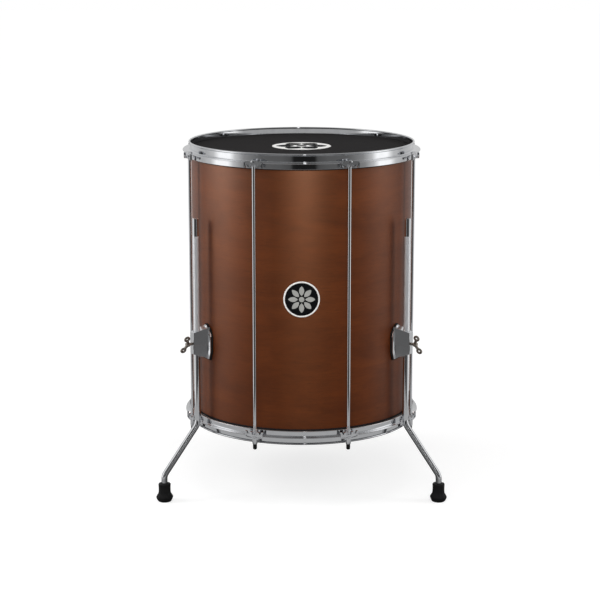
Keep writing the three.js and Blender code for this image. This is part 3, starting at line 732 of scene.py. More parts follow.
# Half of the outline, as shares of the half width and of the height above or below the flange
CLAW_UPPER_SHARES = [(0.34, 1), (0.62, 0.86), (0.88, 0.5), (0.97, 0.1)]
CLAW_TIP_SHARES = [(1, -0.1), (0.99, -1), (0.84, -1), (0.77, -0.62), (0.70, -0.5)]
CLAW_LOBE_SHARES = [
    (0.62, -0.54), (0.56, -0.86), (0.48, -0.93), (0.34, -0.93), (0.27, -0.84), (0.22, -0.4), (0, -0.4),
]

half = [
    (x * CLAW_HALF, z * (CLAW_RISE if z > 0 else CLAW_DROP))
    for x, z in CLAW_UPPER_SHARES + CLAW_TIP_SHARES + CLAW_LOBE_SHARES
]
outline = half + [(-x, z) for x, z in half[-2::-1]]
wings = plate("claw_master", outline, CLAW_BACK, CLAW_BACK + CLAW_THICKNESS)
print("claw outline has", len(outline), "points")

# %% Hollow the claw's face
CLAW_BORDER = 1.5 * MM
CLAW_HOLLOW = 2 * MM


def select_faces(piece, wanted):
    """In edit mode, select only the faces that a test picks by their centre and normal."""
    mesh = bmesh.from_edit_mesh(piece.data)
    bpy.ops.mesh.select_mode(type="FACE")
    for face in mesh.faces:
        face.select_set(wanted(face.calc_center_median(), face.normal))
    mesh.select_flush_mode()
    bmesh.update_edit_mesh(piece.data)
    return sum(face.select for face in mesh.faces)


edit(wings)
print("faces to hollow", select_faces(wings, lambda centre, normal: normal.y < -0.9))
bpy.ops.mesh.inset(thickness=CLAW_BORDER, depth=0)
extrude(y=CLAW_HOLLOW)
close_up()

# %% [markdown]
# The rod's head sits in a round seat, on a boss in the middle of the claw. The boss is spun by
# itself and then joined, because it is round where the wings beside it are flat.

# %% Claw bore and boss
BOSS_RADIUS = 6.5 * MM
BOSS_ROUND = 0.5 * MM
SEAT_RADIUS = 5.15 * MM
SEAT_DEPTH = 1.8 * MM
SEAT_LIP_WIDE, SEAT_LIP_DEEP = 0.2 * MM, 0.3 * MM
CLAW_ROUND = 0.65 * MM

seat_floor = CLAW_RISE - SEAT_DEPTH
cut(
    wings,
    pipe("bar", HOLE_RADIUS, -2 * CLAW_DROP, 2 * CLAW_RISE, ROD_AT, 24),
    pipe("seat", SEAT_RADIUS, seat_floor, 2 * CLAW_RISE, ROD_AT, 32),
)
bevel(wings, CLAW_ROUND, 3, 40)
boss_section = [(HOLE_RADIUS, GAP), (BOSS_RADIUS - BOSS_ROUND, GAP), (BOSS_RADIUS, GAP + BOSS_ROUND)]
boss_section += arc((BOSS_RADIUS - BOSS_ROUND, CLAW_RISE - BOSS_ROUND), BOSS_ROUND, 0, 90, 3)
boss_section += [(SEAT_RADIUS + SEAT_LIP_WIDE, CLAW_RISE), (SEAT_RADIUS, CLAW_RISE - SEAT_LIP_DEEP)]
boss_section += [(SEAT_RADIUS, seat_floor), (HOLE_RADIUS, seat_floor)]
boss = spun("boss", boss_section, 32, ROD_AT)
claw = smooth(join(wings, boss), 38)
put_on(claw, chrome)
print("claw faces", len(claw.data.polygons))

# %% [markdown]
# The nut below each claw is a hexagon that tapers downwards. Under it the end of the rod wears a
# rubber cap, which keeps the sharp thread off the player's knee.

# %% Nuts
nut_low, nut_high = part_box("tension_nut_1")
NUT_RADIUS = 5.5 * MM
NUT_END_SHARE = 0.9
NUT_TAPER = 4.4 * MM
NUT_ROUND = 0.5 * MM
NUT_BORE = 3.5 * MM

deselect()
nut_waist = nut_low.z + NUT_TAPER
bpy.ops.mesh.primitive_cylinder_add(
    vertices=6, radius=NUT_RADIUS, depth=nut_high.z - nut_waist,
    location=(0, -ROD_CIRCLE, (nut_waist + nut_high.z) / 2),
)
nut = named(bpy.context.object, "nut_master")
bpy.ops.object.transform_apply(location=True)
edit(nut)
select_faces(nut, lambda centre, normal: normal.z < -0.9)
extrude(z=-NUT_TAPER)
narrower = (NUT_END_SHARE, NUT_END_SHARE, 1)
bpy.ops.transform.resize(value=narrower, center_override=(0, -ROD_CIRCLE, nut_low.z))
close_up()
bevel(nut, NUT_ROUND, 3, 25)
cut(nut, pipe("bar", NUT_BORE, nut_low.z - MM, nut_high.z + MM, ROD_AT, 24))
smooth(nut, 30)
put_on(nut, chrome)
print("nut faces", len(nut.data.polygons))

# %% Rubber caps
CAP_RADIUS = 4 * MM
CAP_BOTTOM = 124.6 * MM
CAP_ROUND = 2.8 * MM
CAP_SWELL = 0.1 * MM
CAP_LIP_IN, CAP_LIP_DROP = 0.3 * MM, 0.4 * MM

cap_top = nut_low.z - GAP
cap_bore = ROD_RADIUS + CAP_SWELL
cap_section = [(0, CAP_BOTTOM)]
cap_section += arc((CAP_RADIUS - CAP_ROUND, CAP_BOTTOM + CAP_ROUND), CAP_ROUND, -80, 0, 8)
cap_section += [(CAP_RADIUS + CAP_SWELL, cap_top - CAP_LIP_DROP), (CAP_RADIUS - CAP_LIP_IN, cap_top)]
cap_section += [(cap_bore, cap_top), (cap_bore, rod_low.z - GAP), (0, rod_low.z - GAP)]
cap = smooth(spun("cap_master", cap_section, 28, ROD_AT))
put_on(cap, rubber)
print("cap faces", len(cap.data.polygons))

# %% [markdown]
# Everything round a rod repeats eight times, at the places that the solids give. Each copy has its
# own mesh and says which solid it stands for. A lower claw is an upper one turned over. The nuts
# turn on the rods, so each rides on its own body, and all the rest rides on the drum.

# %% Set out the rods, claws, nuts and caps
for k, azimuth in enumerate(rod_azimuths, start=1):
    dress(copy_to(rod, f"rod_{k}", azimuth), "drum", "chrome", f"tension_rod_{k}")
    upper = copy_to(claw, f"upper_claw_{k}", azimuth, LEDGE_TOP)
    dress(upper, "drum", "chrome", f"top_claw_{k}")
    lower = copy_to(claw, f"lower_claw_{k}", azimuth, 2 * SHELL_MIDDLE - LEDGE_TOP, 180)
    dress(lower, "drum", "chrome", f"bottom_claw_{k}")
    dress(copy_to(nut, f"key_nut_{k}", azimuth), f"nut_{k}", "chrome", f"tension_nut_{k}")
    dress(copy_to(cap, f"rod_cap_{k}", azimuth), "drum", "black_rubber")
remove(rod, claw, nut, cap)
print("rods at", [round(a, 1) for a in rod_azimuths])

# %% [markdown]
# A leg is a solid chromed bar, bent twice. It starts as a circle at the top, is extruded down, and
# spun round the centres of its two bends. The length that the bracket grips is knurled: it is cut
# into small squares, and every other corner is pushed in, which leaves diamonds as a roller does.

# %% Leg sizes
leg_low, leg_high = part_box("leg_3")
LEG_RADIUS = 6.2 * MM
LEG_CLEARANCE = 1.3 * MM
LEG_CIRCLE = FLANGE_RADIUS + LEG_CLEARANCE + LEG_RADIUS
LEG_AT = (0, -LEG_CIRCLE, 0)
LEG_SIDES = 40
TOP_ROUND = 1.2 * MM
TOP_STEP = 30
SMOOTH_TOP = 37 * MM
KNURL_END = 318 * MM
KNURL_ROW = 1.2 * MM
KNURL_DEPTH = 0.38 * MM
SPLAY = math.radians(39.2)
UPPER_BEND_RADIUS = 26 * MM
LOWER_BEND_RADIUS = 20 * MM
LOWER_BEND_HEIGHT = 54.7 * MM
BEND_STEPS = 10

spread = FOOT_CIRCLE - LEG_CIRCLE
upper_corner = LOWER_BEND_HEIGHT + spread / math.tan(SPLAY)
upper_setback = UPPER_BEND_RADIUS * math.tan(SPLAY / 2)
lower_setback = LOWER_BEND_RADIUS * math.tan(SPLAY / 2)
slant = math.hypot(spread, upper_corner - LOWER_BEND_HEIGHT) - upper_setback - lower_setback
knurl_top = leg_high.z - SMOOTH_TOP
print("straight", round(slant, 4), "between the bends, knurl down from", round(knurl_top, 4))

# %% Leg bar
deselect()
bpy.ops.mesh.primitive_circle_add(
    vertices=LEG_SIDES, radius=LEG_RADIUS - TOP_ROUND, fill_type="NGON",
    location=(0, -LEG_CIRCLE, leg_high.z),
)
leg = named(bpy.context.object, "leg_master")
bpy.ops.object.transform_apply(location=True)
edit(leg)
for turned in range(TOP_STEP, 91, TOP_STEP):
    angle = math.radians(turned)
    before = math.radians(turned - TOP_STEP)
    radius_now = LEG_RADIUS - TOP_ROUND * (1 - math.sin(angle))
    radius_before = LEG_RADIUS - TOP_ROUND * (1 - math.sin(before))
    extrude(z=-TOP_ROUND * (math.cos(before) - math.cos(angle)))
    grow = radius_now / radius_before
    bpy.ops.transform.resize(value=(grow, grow, 1), center_override=LEG_AT)
extrude(z=-(SMOOTH_TOP - TOP_ROUND))
knurl_half = (knurl_top - KNURL_END) / 2
extrude(z=-knurl_half)
extrude(z=-knurl_half)
extrude(z=-(KNURL_END - upper_corner - upper_setback))
bpy.ops.mesh.spin(
    steps=BEND_STEPS, angle=SPLAY, axis=(1, 0, 0),
    center=(0, -LEG_CIRCLE - UPPER_BEND_RADIUS, upper_corner + upper_setback),
)
extrude(y=-slant * math.sin(SPLAY), z=-slant * math.cos(SPLAY))
bpy.ops.mesh.spin(
    steps=BEND_STEPS, angle=SPLAY, axis=(-1, 0, 0),
    center=(0, -FOOT_CIRCLE + LOWER_BEND_RADIUS, LOWER_BEND_HEIGHT - lower_setback),
)
extrude(z=-(LOWER_BEND_HEIGHT - lower_setback - leg_low.z))
close_up()
print("leg bar faces", len(leg.data.polygons))

# %% [markdown]
# The gripped length was extruded in two halves because one subdivide makes at most a hundred cuts.
# Its upright edges are found by their length and place and cut into rows. Then every other corner,
# counted by row and by side, is shrunk towards the bar's axis.

# %% Knurling
knurl_rows = round((knurl_top - KNURL_END) / KNURL_ROW / 2) * 2
edit(leg)
mesh = bmesh.from_edit_mesh(leg.data)
bpy.ops.mesh.select_mode(type="EDGE")
for side in mesh.edges:
    low_z, high_z = sorted(v.co.z for v in side.verts)
    upright = high_z - low_z > 10 * MM
    side.select_set(upright and low_z > KNURL_END - MM and high_z < knurl_top + MM)
bpy.ops.mesh.subdivide(number_cuts=knurl_rows // 2 - 1)
bpy.ops.mesh.select_mode(type="VERT")
mesh = bmesh.from_edit_mesh(leg.data)
row_height = (knurl_top - KNURL_END) / knurl_rows
for vertex in mesh.verts:
    row = round((knurl_top - vertex.co.z) / row_height)
    column = round(math.atan2(vertex.co.x, vertex.co.y + LEG_CIRCLE) / (2 * math.pi) * LEG_SIDES)
    vertex.select_set(0 < row < knurl_rows and (row + column) % 2 == 0)
bpy.ops.transform.shrink_fatten(value=-KNURL_DEPTH)
close_up()
put_on(leg, chrome, knurl_chrome)
for face in leg.data.polygons:
    face.material_index = int(KNURL_END < face.center.z < knurl_top)
smooth(leg, 22)
print("leg faces", len(leg.data.polygons), "rows of knurling", knurl_rows)

# %% [markdown]
# The rubber foot flares to a skirt and tucks in to its sole, which has ring grooves. Its wall is
# fluted, so after spinning each vertex outside the bore moves in with its angle.

# %% Feet
foot_low, foot_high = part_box("foot_1")
# The section in millimetres, from the middle of the sole, round the skirt and down the bore
FOOT_SECTION = [
    (0, 0.6), (4, 0.6), (4.6, 0), (7, 0), (7.6, 0.6), (9, 0.6), (9.6, 0), (12.4, 0), (13.8, 0.8),
    (14.9, 2.6), (16.7, 6.4), (17.4, 8.4), (17.5, 9.6), (17.1, 10.8), (15.6, 13.2), (14.1, 15.4),
    (13, 18), (12.5, 21), (12.3, 26), (12.45, 32), (12.7, 35.2), (12.5, 36.8), (11.8, 37.7),
    (10.8, 38), (7.6, 38), (6.5, 37.2), (6.5, 11), (0, 11),
]
FLUTES = 10
FLUTE_SHARE = 0.035
FLUTES_OUTSIDE = 9.7 * MM
SOLE_ABOVE = 0.3 * MM
foot = spun("foot_master", in_mm(FOOT_SECTION), 80, (0, -FOOT_CIRCLE, 0))
for vertex in foot.data.vertices:
    out = Vector((vertex.co.x, vertex.co.y + FOOT_CIRCLE))
    if out.length > FLUTES_OUTSIDE and vertex.co.z > SOLE_ABOVE:
        swell = math.cos(FLUTES * math.atan2(out.y, out.x))
        deep = 1 + FLUTE_SHARE * (swell - 1) / 2
        vertex.co.x *= deep
        vertex.co.y = -FOOT_CIRCLE + out.y * deep
smooth(foot, 50)
put_on(foot, rubber)
print("foot height", round(foot_high.z - foot_low.z, 4))

# %% [markdown]
# The leg bracket is a facetted casting. Two cubes, a wide upper one and a lower one set in by a
# step, are cut down by one bisecting plane per facet, as a pattern maker would plane a block, and
# bevelled so that their edges catch the light. A base plate with a sloping border goes under them,
# and all three are cut to the drum's curve, to the leg's bore and to the bolt's hole.

# %% Bracket sizes
bracket_low, bracket_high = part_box("leg_bracket_3")
BRACKET_HEIGHT = bracket_high.z - bracket_low.z
BRACKET_WIDTH = bracket_high.x - bracket_low.x
BRACKET_OFFSET = 1.5 * MM
BOLT_HEIGHT = (bracket_high.z + bracket_low.z) / 2 - BRACKET_OFFSET
GASKET_THICKNESS = 2 * MM
GASKET_MARGIN = 2.4 * MM
GASKET_INSIDE = SHELL_RADIUS + GAP
GASKET_OUTSIDE = GASKET_INSIDE + GASKET_THICKNESS
BRACKET_BACK = GASKET_OUTSIDE + GAP
PLATE_THICKNESS = 4 * MM
PLATE_FRONT = BRACKET_BACK + PLATE_THICKNESS
NOSE_WALL = 5 * MM
NOSE_FRONT = LEG_CIRCLE + LEG_RADIUS + BORE_GAP + NOSE_WALL
HOUSING_HALF = 33.5 * MM
HOUSING_WIDE = 12.6 * MM
HOUSING_ROUND = 0.7 * MM
# Heights above the bolt, where the nose's front begins to slope back at each end
NOSE_TOP, NOSE_BOTTOM = 24 * MM, -21 * MM
NOSE_WIDE = 7.6 * MM
SHOULDER = -3.3 * MM
TOP_WIDE = 0.8 * HOUSING_WIDE
STEP_WIDE = HOUSING_WIDE - 1.6 * MM
BOTTOM_WIDE = 0.96 * STEP_WIDE
BORDER_WIDE = 5.2 * MM
BORDER_DEEP = 2 * MM
BOLT_RADIUS = 3 * MM
# The base plate's outline, as shares of its half width and half height
PLATE_SHARES = [(0.71, -1), (1, -0.53), (1, 0.36), (0.9, 0.59), (0.58, 0.82), (0.16, 1)]
print("bracket", round(BRACKET_WIDTH, 4), "wide and", round(BRACKET_HEIGHT, 4), "high")

# %% Plane the two blocks


def plane_off(piece, point, normal):
    """Cut away what lies beyond a plane and close the cut."""
    edit(piece)
    bpy.ops.mesh.select_all(action="SELECT")
    bpy.ops.mesh.bisect(plane_co=point, plane_no=normal, use_fill=True, clear_outer=True, clear_inner=False)
    close_up()


BLOCK_SPARE = 2 * MM
inner = BRACKET_BACK - BLOCK_SPARE
taper = NOSE_FRONT - PLATE_FRONT
lean = (HOUSING_WIDE - NOSE_WIDE) / taper
blocks = []
for low, high, wide, narrow in (
    (SHOULDER, HOUSING_HALF, HOUSING_WIDE, HOUSING_WIDE),
    (-HOUSING_HALF, SHOULDER + MM, STEP_WIDE, BOTTOM_WIDE),
):
    deselect()
    bpy.ops.mesh.primitive_cube_add(size=1, location=(0, -(inner + NOSE_FRONT) / 2, (low + high) / 2))
    block = named(bpy.context.object, "bracket_master")
    block.scale = (4 * HOUSING_WIDE, NOSE_FRONT - inner, high - low)
    bpy.ops.object.transform_apply(location=True, scale=True)
    for way in (1, -1):
        plane_off(block, (way * wide, -PLATE_FRONT, high), (way, -lean, (narrow - wide) / (high - low)))
    blocks.append(block)
upper, lower = blocks
plane_off(upper, (0, -NOSE_FRONT, NOSE_TOP), (0, -(HOUSING_HALF - NOSE_TOP), taper))
plane_off(lower, (0, -NOSE_FRONT, NOSE_BOTTOM), (0, -(HOUSING_HALF + NOSE_BOTTOM), -taper))
for way in (1, -1):
    slope = (way * (HOUSING_HALF - NOSE_TOP), 0, HOUSING_WIDE - TOP_WIDE)
    plane_off(upper, (way * HOUSING_WIDE, 0, NOSE_TOP), slope)
for block in blocks:
    bevel(block, HOUSING_ROUND, 3, 15)
print("block faces", [len(block.data.polygons) for block in blocks])

# %% Base plate
BASE_ROUND = 0.5 * MM
BASE_SPARE = 3 * MM


def plate_outline(margin):
    wide = BRACKET_WIDTH / 2 + margin
    high = BRACKET_HEIGHT / 2 + margin
    right = [(x * wide, z * high + BRACKET_OFFSET) for x, z in PLATE_SHARES]
    return right + [(-x, z) for x, z in reversed(right)]


base = plate("base", plate_outline(0), BRACKET_BACK - BASE_SPARE, PLATE_FRONT - BORDER_DEEP)
edit(base)
select_faces(base, lambda centre, normal: normal.y < -0.9)
bpy.ops.mesh.inset(thickness=BORDER_WIDE, depth=0)
bpy.ops.transform.translate(value=(0, -BORDER_DEEP, 0))
close_up()
bevel(base, BASE_ROUND, 3, 60)
print("base faces", len(base.data.polygons))

# %% [markdown]
# The holes come last, so that no bevel runs into them. A cylinder as wide as the drum cuts the back
# hollow, so that the bracket lies on its gasket. The same trick, as an intersection with a thin
# sleeve, bends the gasket: what is left of a thick plate is a curved sheet.

# %% Bore the bracket
FAR = BRACKET_HEIGHT


def bolt_bar(radius, near, far):
    deselect()
    bpy.ops.mesh.primitive_cylinder_add(
        vertices=24, radius=radius, depth=far - near, location=(0, -(near + far) / 2, 0),
        rotation=(math.pi / 2, 0, 0),
    )
    bpy.ops.object.transform_apply(location=True, rotation=True)
    return named(bpy.context.object, "bolt_bar")


for block in (upper, lower, base):
    cut(
        block,
        pipe("drum_curve", BRACKET_BACK, -FAR, FAR, (0, 0), 320),
        pipe("leg_bore", LEG_RADIUS + BORE_GAP, -FAR, FAR, LEG_AT, 48),
        bolt_bar(BOLT_RADIUS + BORE_GAP, LEG_CIRCLE, NOSE_FRONT + NOSE_WALL),
    )
bracket = smooth(join(upper, lower, base), 12)
put_on(bracket, chrome)
print("bracket faces", len(bracket.data.polygons))

# %% Gasket
GASKET_SPARE = 6 * MM
GASKET_ROUND = 0.4 * MM

outline = plate_outline(GASKET_MARGIN)
gasket = plate("gasket_master", outline, GASKET_INSIDE - GASKET_SPARE, GASKET_OUTSIDE + GASKET_SPARE)
sleeve_section = [(GASKET_INSIDE, -FAR), (GASKET_OUTSIDE, -FAR), (GASKET_OUTSIDE, FAR), (GASKET_INSIDE, FAR)]
sleeve = spun("sleeve", sleeve_section, 320)
modify(gasket, "BOOLEAN", object=sleeve, operation="INTERSECT", solver="EXACT")
remove(sleeve)
bevel(gasket, GASKET_ROUND, 2, 40)
smooth(gasket, 30)
put_on(gasket, rubber)
print("gasket faces", len(gasket.data.polygons))

# %% [markdown]
# A wing bolt is a small casting: a hub, two arms and two rings, blended where they meet. The parts
# are added as primitives, joined, and fused by a voxel remesh that leaves soft fillets. The thread
# is added afterwards, because the remesh would melt it.

# %% Wing bolt castings
NECK = 6 * MM
HUB_LENGTH = 8 * MM
HUB_RADIUS = 5 * MM
HUB_CHAMFER, HUB_EDGE = 0.6 * MM, 0.7 * MM
HUB_DOME = 1.5 * MM
DOME_SHARE, END_SHARE = 0.92, 0.7
RING_REACH, RING_OUT = 15.6 * MM, 9.6 * MM
RING_RADIUS = 4.5 * MM
RING_SHAPE = (1, 1.04, 1.1)
WIRE_RADIUS = 2.3 * MM
ARM_RADIUS, ARM_LENGTH = 3 * MM, 11 * MM
ARM_REACH, ARM_OUT = 6.4 * MM, 5.4 * MM
ARM_TILT = -66
VOXEL = 0.42 * MM

hub_near = NOSE_FRONT + NECK
hub_far = hub_near + HUB_LENGTH
hub_section = [(0, hub_near), (HUB_RADIUS - HUB_CHAMFER, hub_near), (HUB_RADIUS, hub_near + HUB_EDGE)]
hub_section += [(HUB_RADIUS * DOME_SHARE, hub_far - HUB_DOME), (HUB_RADIUS * END_SHARE, hub_far)]
hub_section += [(0, hub_far)]
hub = spun("bolt_master", hub_section, 32)
wings = []
for way in (1, -1):
    deselect()
    bpy.ops.mesh.primitive_torus_add(
        major_radius=RING_RADIUS, minor_radius=WIRE_RADIUS, major_segments=40, minor_segments=16,
        location=(0, way * RING_REACH, hub_near + RING_OUT), rotation=(0, math.pi / 2, 0),
    )
    ring = bpy.context.object
    ring.scale = RING_SHAPE
    bpy.ops.object.transform_apply(location=True, rotation=True, scale=True)
    bpy.ops.mesh.primitive_cylinder_add(
        vertices=20, radius=ARM_RADIUS, depth=ARM_LENGTH,
        location=(0, way * ARM_REACH, hub_near + ARM_OUT), rotation=(way * math.radians(ARM_TILT), 0, 0),
    )
    arm = bpy.context.object
    bpy.ops.object.transform_apply(location=True, rotation=True)
    wings += [ring, arm]
join(hub, *wings)
modify(hub, "REMESH", mode="VOXEL", voxel_size=VOXEL)
modify(hub, "SMOOTH", factor=0.5, iterations=4)
print("wing casting faces", len(hub.data.polygons))

# %% Wing bolt shank
shank_near = LEG_CIRCLE + LEG_RADIUS + GAP
shank_far = hub_near + MM
shank_radius = BOLT_RADIUS - THREAD_DEPTH
shank_section = [(0, shank_near), (shank_radius, shank_near), (shank_radius, shank_far), (0, shank_far)]
shank = spun("shank", shank_section, 24)
turns = round((hub_near - shank_near) / THREAD_PITCH)
foot_of_ridge = shank_radius - THREAD_SINK
wound = thread("bolt_thread", foot_of_ridge, BOLT_RADIUS, THREAD_PITCH, turns, (0, 0), shank_near)
bolt = join(hub, shank, wound)
bolt.rotation_euler = (math.pi / 2, 0, 0)
bpy.ops.object.transform_apply(rotation=True)
smooth(bolt, 40)
put_on(bolt, nickel)
print("wing bolt faces", len(bolt.data.polygons), "turns of thread", turns)

# %% [markdown]
# The three legs stand at the angles of their feet. Bar and foot slide together in the bracket, so
# both ride on the leg's body. Each wing bolt turns on a body of its own, and stands at the angle at
# which someone left it. The screws inside the shell keep their solids and only get a finish.

# %% Set out the legs, feet, brackets, gaskets and wing bolts
WING_TILTS = (-32, 23, 30)
for k in range(1, LEG_COUNT + 1):
    azimuth = azimuth_of(f"foot_{k}")
    tube = copy_to(leg, f"leg_bar_{k}", azimuth)
    dress(tube, f"leg_{k}", "chrome", f"leg_{k}")
    dress(copy_to(foot, f"rubber_foot_{k}", azimuth), f"leg_{k}", "black_rubber", f"foot_{k}")
    casting = copy_to(bracket, f"bracket_casting_{k}", azimuth, BOLT_HEIGHT)
    dress(casting, "drum", "chrome", f"leg_bracket_{k}")
    pad = copy_to(gasket, f"bracket_pad_{k}", azimuth, BOLT_HEIGHT)
    dress(pad, "drum", "black_rubber", f"bracket_gasket_{k}")
    wing = copy_to(bolt, f"wing_screw_{k}", azimuth, BOLT_HEIGHT, -WING_TILTS[k - 1])
    dress(wing, f"wing_bolt_{k}", "nickel", f"wing_bolt_{k}")
    put_on(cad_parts[f"bracket_fixing_{k}"], zinc)
    print("leg", k, "at", round(azimuth, 1))
remove(leg, foot, bracket, gasket, bolt)

# %% [markdown]
# The badge is a pressed disc that follows the shell's curve: a white rim, black enamel, and a silver
# motif. The motif is a plain rosette of eight petals, an old folk ornament. Each part is modelled
# flat and then wrapped, by moving each vertex back as far as the shell curves away from it.

# %% Wrapping and petals
badge_low, badge_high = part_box("badge_rim")
BADGE_RADIUS = (badge_high.z - badge_low.z) / 2
BADGE_HEIGHT = (badge_high.z + badge_low.z) / 2
PETAL_START_SHARE = 0.27
CENTRE_SHARE = 0.20
PETAL_POINTS = 20
PETAL_FULLNESS = 0.8


def wrap_on_shell(piece, lift):
    """Bend a flat piece that faces up (+Z) to the front of the shell, lifted off it."""
    piece.rotation_euler = (math.pi / 2, 0, 0)
    select_only(piece)
    bpy.ops.object.transform_apply(rotation=True)
    for vertex in piece.data.vertices:
        out = SHELL_RADIUS + lift - vertex.co.y
        vertex.co.y = AXIS.y - math.sqrt(out * out - vertex.co.x**2)
        vertex.co.x += AXIS.x
        vertex.co.z += BADGE_HEIGHT
    return piece


def petal(near, far, width, low, high, turned):
    """A pointed leaf between two radii, as a thin raised plate."""
    rim = []
    for i in range(PETAL_POINTS):
        share = i / (PETAL_POINTS / 2)
        way = 1 if share < 1 else -1
        along = share if share < 1 else 2 - share
        swell = math.sin(math.pi * along) ** PETAL_FULLNESS
        rim.append((near + (far - near) * along, way * width / 2 * swell))
    piece = chain("petal", [(x, y, low) for x, y in rim + rim[:1]])
    bpy.ops.mesh.edge_face_add()
    extrude(z=high - low)
    close_up()
    piece.rotation_euler = (0, 0, math.radians(turned))
    select_only(piece)
    bpy.ops.object.transform_apply(rotation=True)
    return piece


def rosette(name, size, low, high, petals, width):
    """Petals round a disc. The size is the motif's outer radius, and the width is a share of it."""
    near = PETAL_START_SHARE * size
    pieces = [petal(near, size, width * size, low, high, 360 * i / petals) for i in range(petals)]
    disc_radius = CENTRE_SHARE * size
    pieces.append(spun("disc", [(0, low), (disc_radius, low), (disc_radius, high), (0, high)], 32))
    return named(join(*pieces), name)


print("badge radius", round(BADGE_RADIUS, 4), "at height", round(BADGE_HEIGHT, 4))

# %% Badge rim and face
RIM_WIDTH = 3.2 * MM
RIM_THICKNESS = 1.6 * MM
RIM_FOOT = 0.5 * MM
FACE_THICKNESS = 1 * MM
FACE_WALL = 0.8 * MM
FACE_CHAMFER = 0.3 * MM
FACE_RINGS = 6
DISC_STEPS = 96

rim_centre = BADGE_RADIUS - RIM_WIDTH / 2
rim_section = [(rim_centre + RIM_WIDTH / 2, 0)]
for turned in range(0, 200, 20):
    angle = math.radians(turned)
    crown = RIM_FOOT + (RIM_THICKNESS - RIM_FOOT) * math.sin(angle)
    rim_section.append((rim_centre + RIM_WIDTH / 2 * math.cos(angle), crown))
rim_section.append((rim_centre - RIM_WIDTH / 2, 0))
rim = wrap_on_shell(spun("badge_ring", rim_section, DISC_STEPS), GAP)
smooth(rim, 45)
put_on(rim, rim_enamel)
dress(rim, "drum", "white_print", "badge_rim")

face_radius = BADGE_RADIUS - RIM_WIDTH - GAP
rings = [face_radius * i / FACE_RINGS for i in range(FACE_RINGS + 1)]
face_section = [(r, 0) for r in rings]
face_section += [(face_radius, FACE_WALL), (face_radius - FACE_CHAMFER, FACE_THICKNESS)]
face_section += [(r, FACE_THICKNESS) for r in rings[-2::-1]]
face = wrap_on_shell(spun("badge_enamel", face_section, DISC_STEPS), GAP)
smooth(face)
put_on(face, black_enamel)
dress(face, "drum", "badge_black", "badge_face")
print("badge face radius", round(face_radius, 4))

# %% Badge motif
MOTIF_RADIUS = 27 * MM
MOTIF_SINK, MOTIF_RAISE = 0.2 * MM, 0.35 * MM
MOTIF_ROUND = 0.12 * MM

motif = rosette(
    "badge_rosette", MOTIF_RADIUS, FACE_THICKNESS - MOTIF_SINK, FACE_THICKNESS + MOTIF_RAISE, 8, 0.38
)
wrap_on_shell(motif, GAP)
bevel(motif, MOTIF_ROUND, 1, 50)
smooth(motif)
put_on(motif, silver_print)
dress(motif, "drum", "zinc_steel")
print("motif faces", len(motif.data.polygons))

# %% [markdown]
# The skin has a white disc in its middle, with a black print on it. The disc lies on the skin, so it
# stands a little proud. The print is thinner than paper, but it has a real thickness too, because
# two faces in one plane would flicker.

# %% Print on the upper skin
PATCH_WALL = 0.15 * MM
PATCH_CHAMFER = 0.3 * MM
PRINT_SHARE = 0.88
PRINT_SINK, PRINT_RAISE = 0.1 * MM, 0.06 * MM

patch_low, patch_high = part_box("head_patch")
PATCH_RADIUS = (patch_high.x - patch_low.x) / 2
patch_section = [(0, patch_low.z), (PATCH_RADIUS, patch_low.z), (PATCH_RADIUS, patch_high.z - PATCH_WALL)]
patch_section += [(PATCH_RADIUS - PATCH_CHAMFER, patch_high.z), (0, patch_high.z)]
patch = smooth(spun("skin_patch", patch_section, DISC_STEPS, AXIS))
put_on(patch, white_print)
dress(patch, "drum", "white_print", "head_patch")
printed = rosette(
    "skin_print", PRINT_SHARE * PATCH_RADIUS, patch_high.z - PRINT_SINK, patch_high.z + PRINT_RAISE, 6, 0.66
)
printed.location = AXIS
select_only(printed)
bpy.ops.object.transform_apply(location=True)
put_on(printed, black_print)
dress(printed, "drum", "badge_black")
print("patch radius", round(PATCH_RADIUS, 4))

# %% [markdown]
# The studio is white all round, as in the photograph. White comes from the paper's own glow, which
# only the rays that show the background can see, so it adds no light to the drum. A glow of one
# everywhere would swallow the drum's shadow, so it is lower round the drum than far off.

# %% Floor
PAPER = (0.42, 0.42, 0.42, 1)
GLOW_NEAR, GLOW_FAR = 0.70, 0.87
GLOW_START, GLOW_END = 0.5, 2.6

deselect()
bpy.ops.mesh.primitive_plane_add(size=40, location=(0, 0, 0))
floor = named(bpy.context.object, "floor")
paper, surface = new_material("white_paper", Roughness=0.9, Specular_IOR_Level=0.0)
surface.inputs["Base Color"].default_value = PAPER


def seen_rays(made):
    """One for the rays that show the background: straight, reflected and transmitted ones."""
    rays = node(made, "ShaderNodeLightPath").outputs
    straight, glossy = rays["Is Camera Ray"], rays["Is Glossy Ray"]
    both = node(made, "ShaderNodeMath", {0: straight, 1: glossy}, operation="ADD").outputs[0]
    links = {0: both, 1: rays["Is Transmission Ray"]}
    return node(made, "ShaderNodeMath", links, operation="ADD", use_clamp=True).outputs[0]


def distance_out(made):
    """How far a point is from the drum's axis, seen from above."""
    level_place = where(made, (1, 1, 0))
    return node(made, "ShaderNodeVectorMath", {0: level_place}, operation="LENGTH").outputs["Value"]


even = between(paper, distance_out(paper), GLOW_NEAR, GLOW_FAR, GLOW_START, GLOW_END)
glow = node(paper, "ShaderNodeMath", {0: seen_rays(paper), 1: even}, operation="MULTIPLY")
surface.inputs["Emission Color"].default_value = (1, 1, 1, 1)
feed(paper, surface, Emission_Strength=glow.outputs[0])
put_on(floor, paper)
print("floor at", floor.location.z)

# %% [markdown]
# The world is white to the eye and a weak even fill to the drum, by the same test of the rays.

# %% World
FILL = 0.32

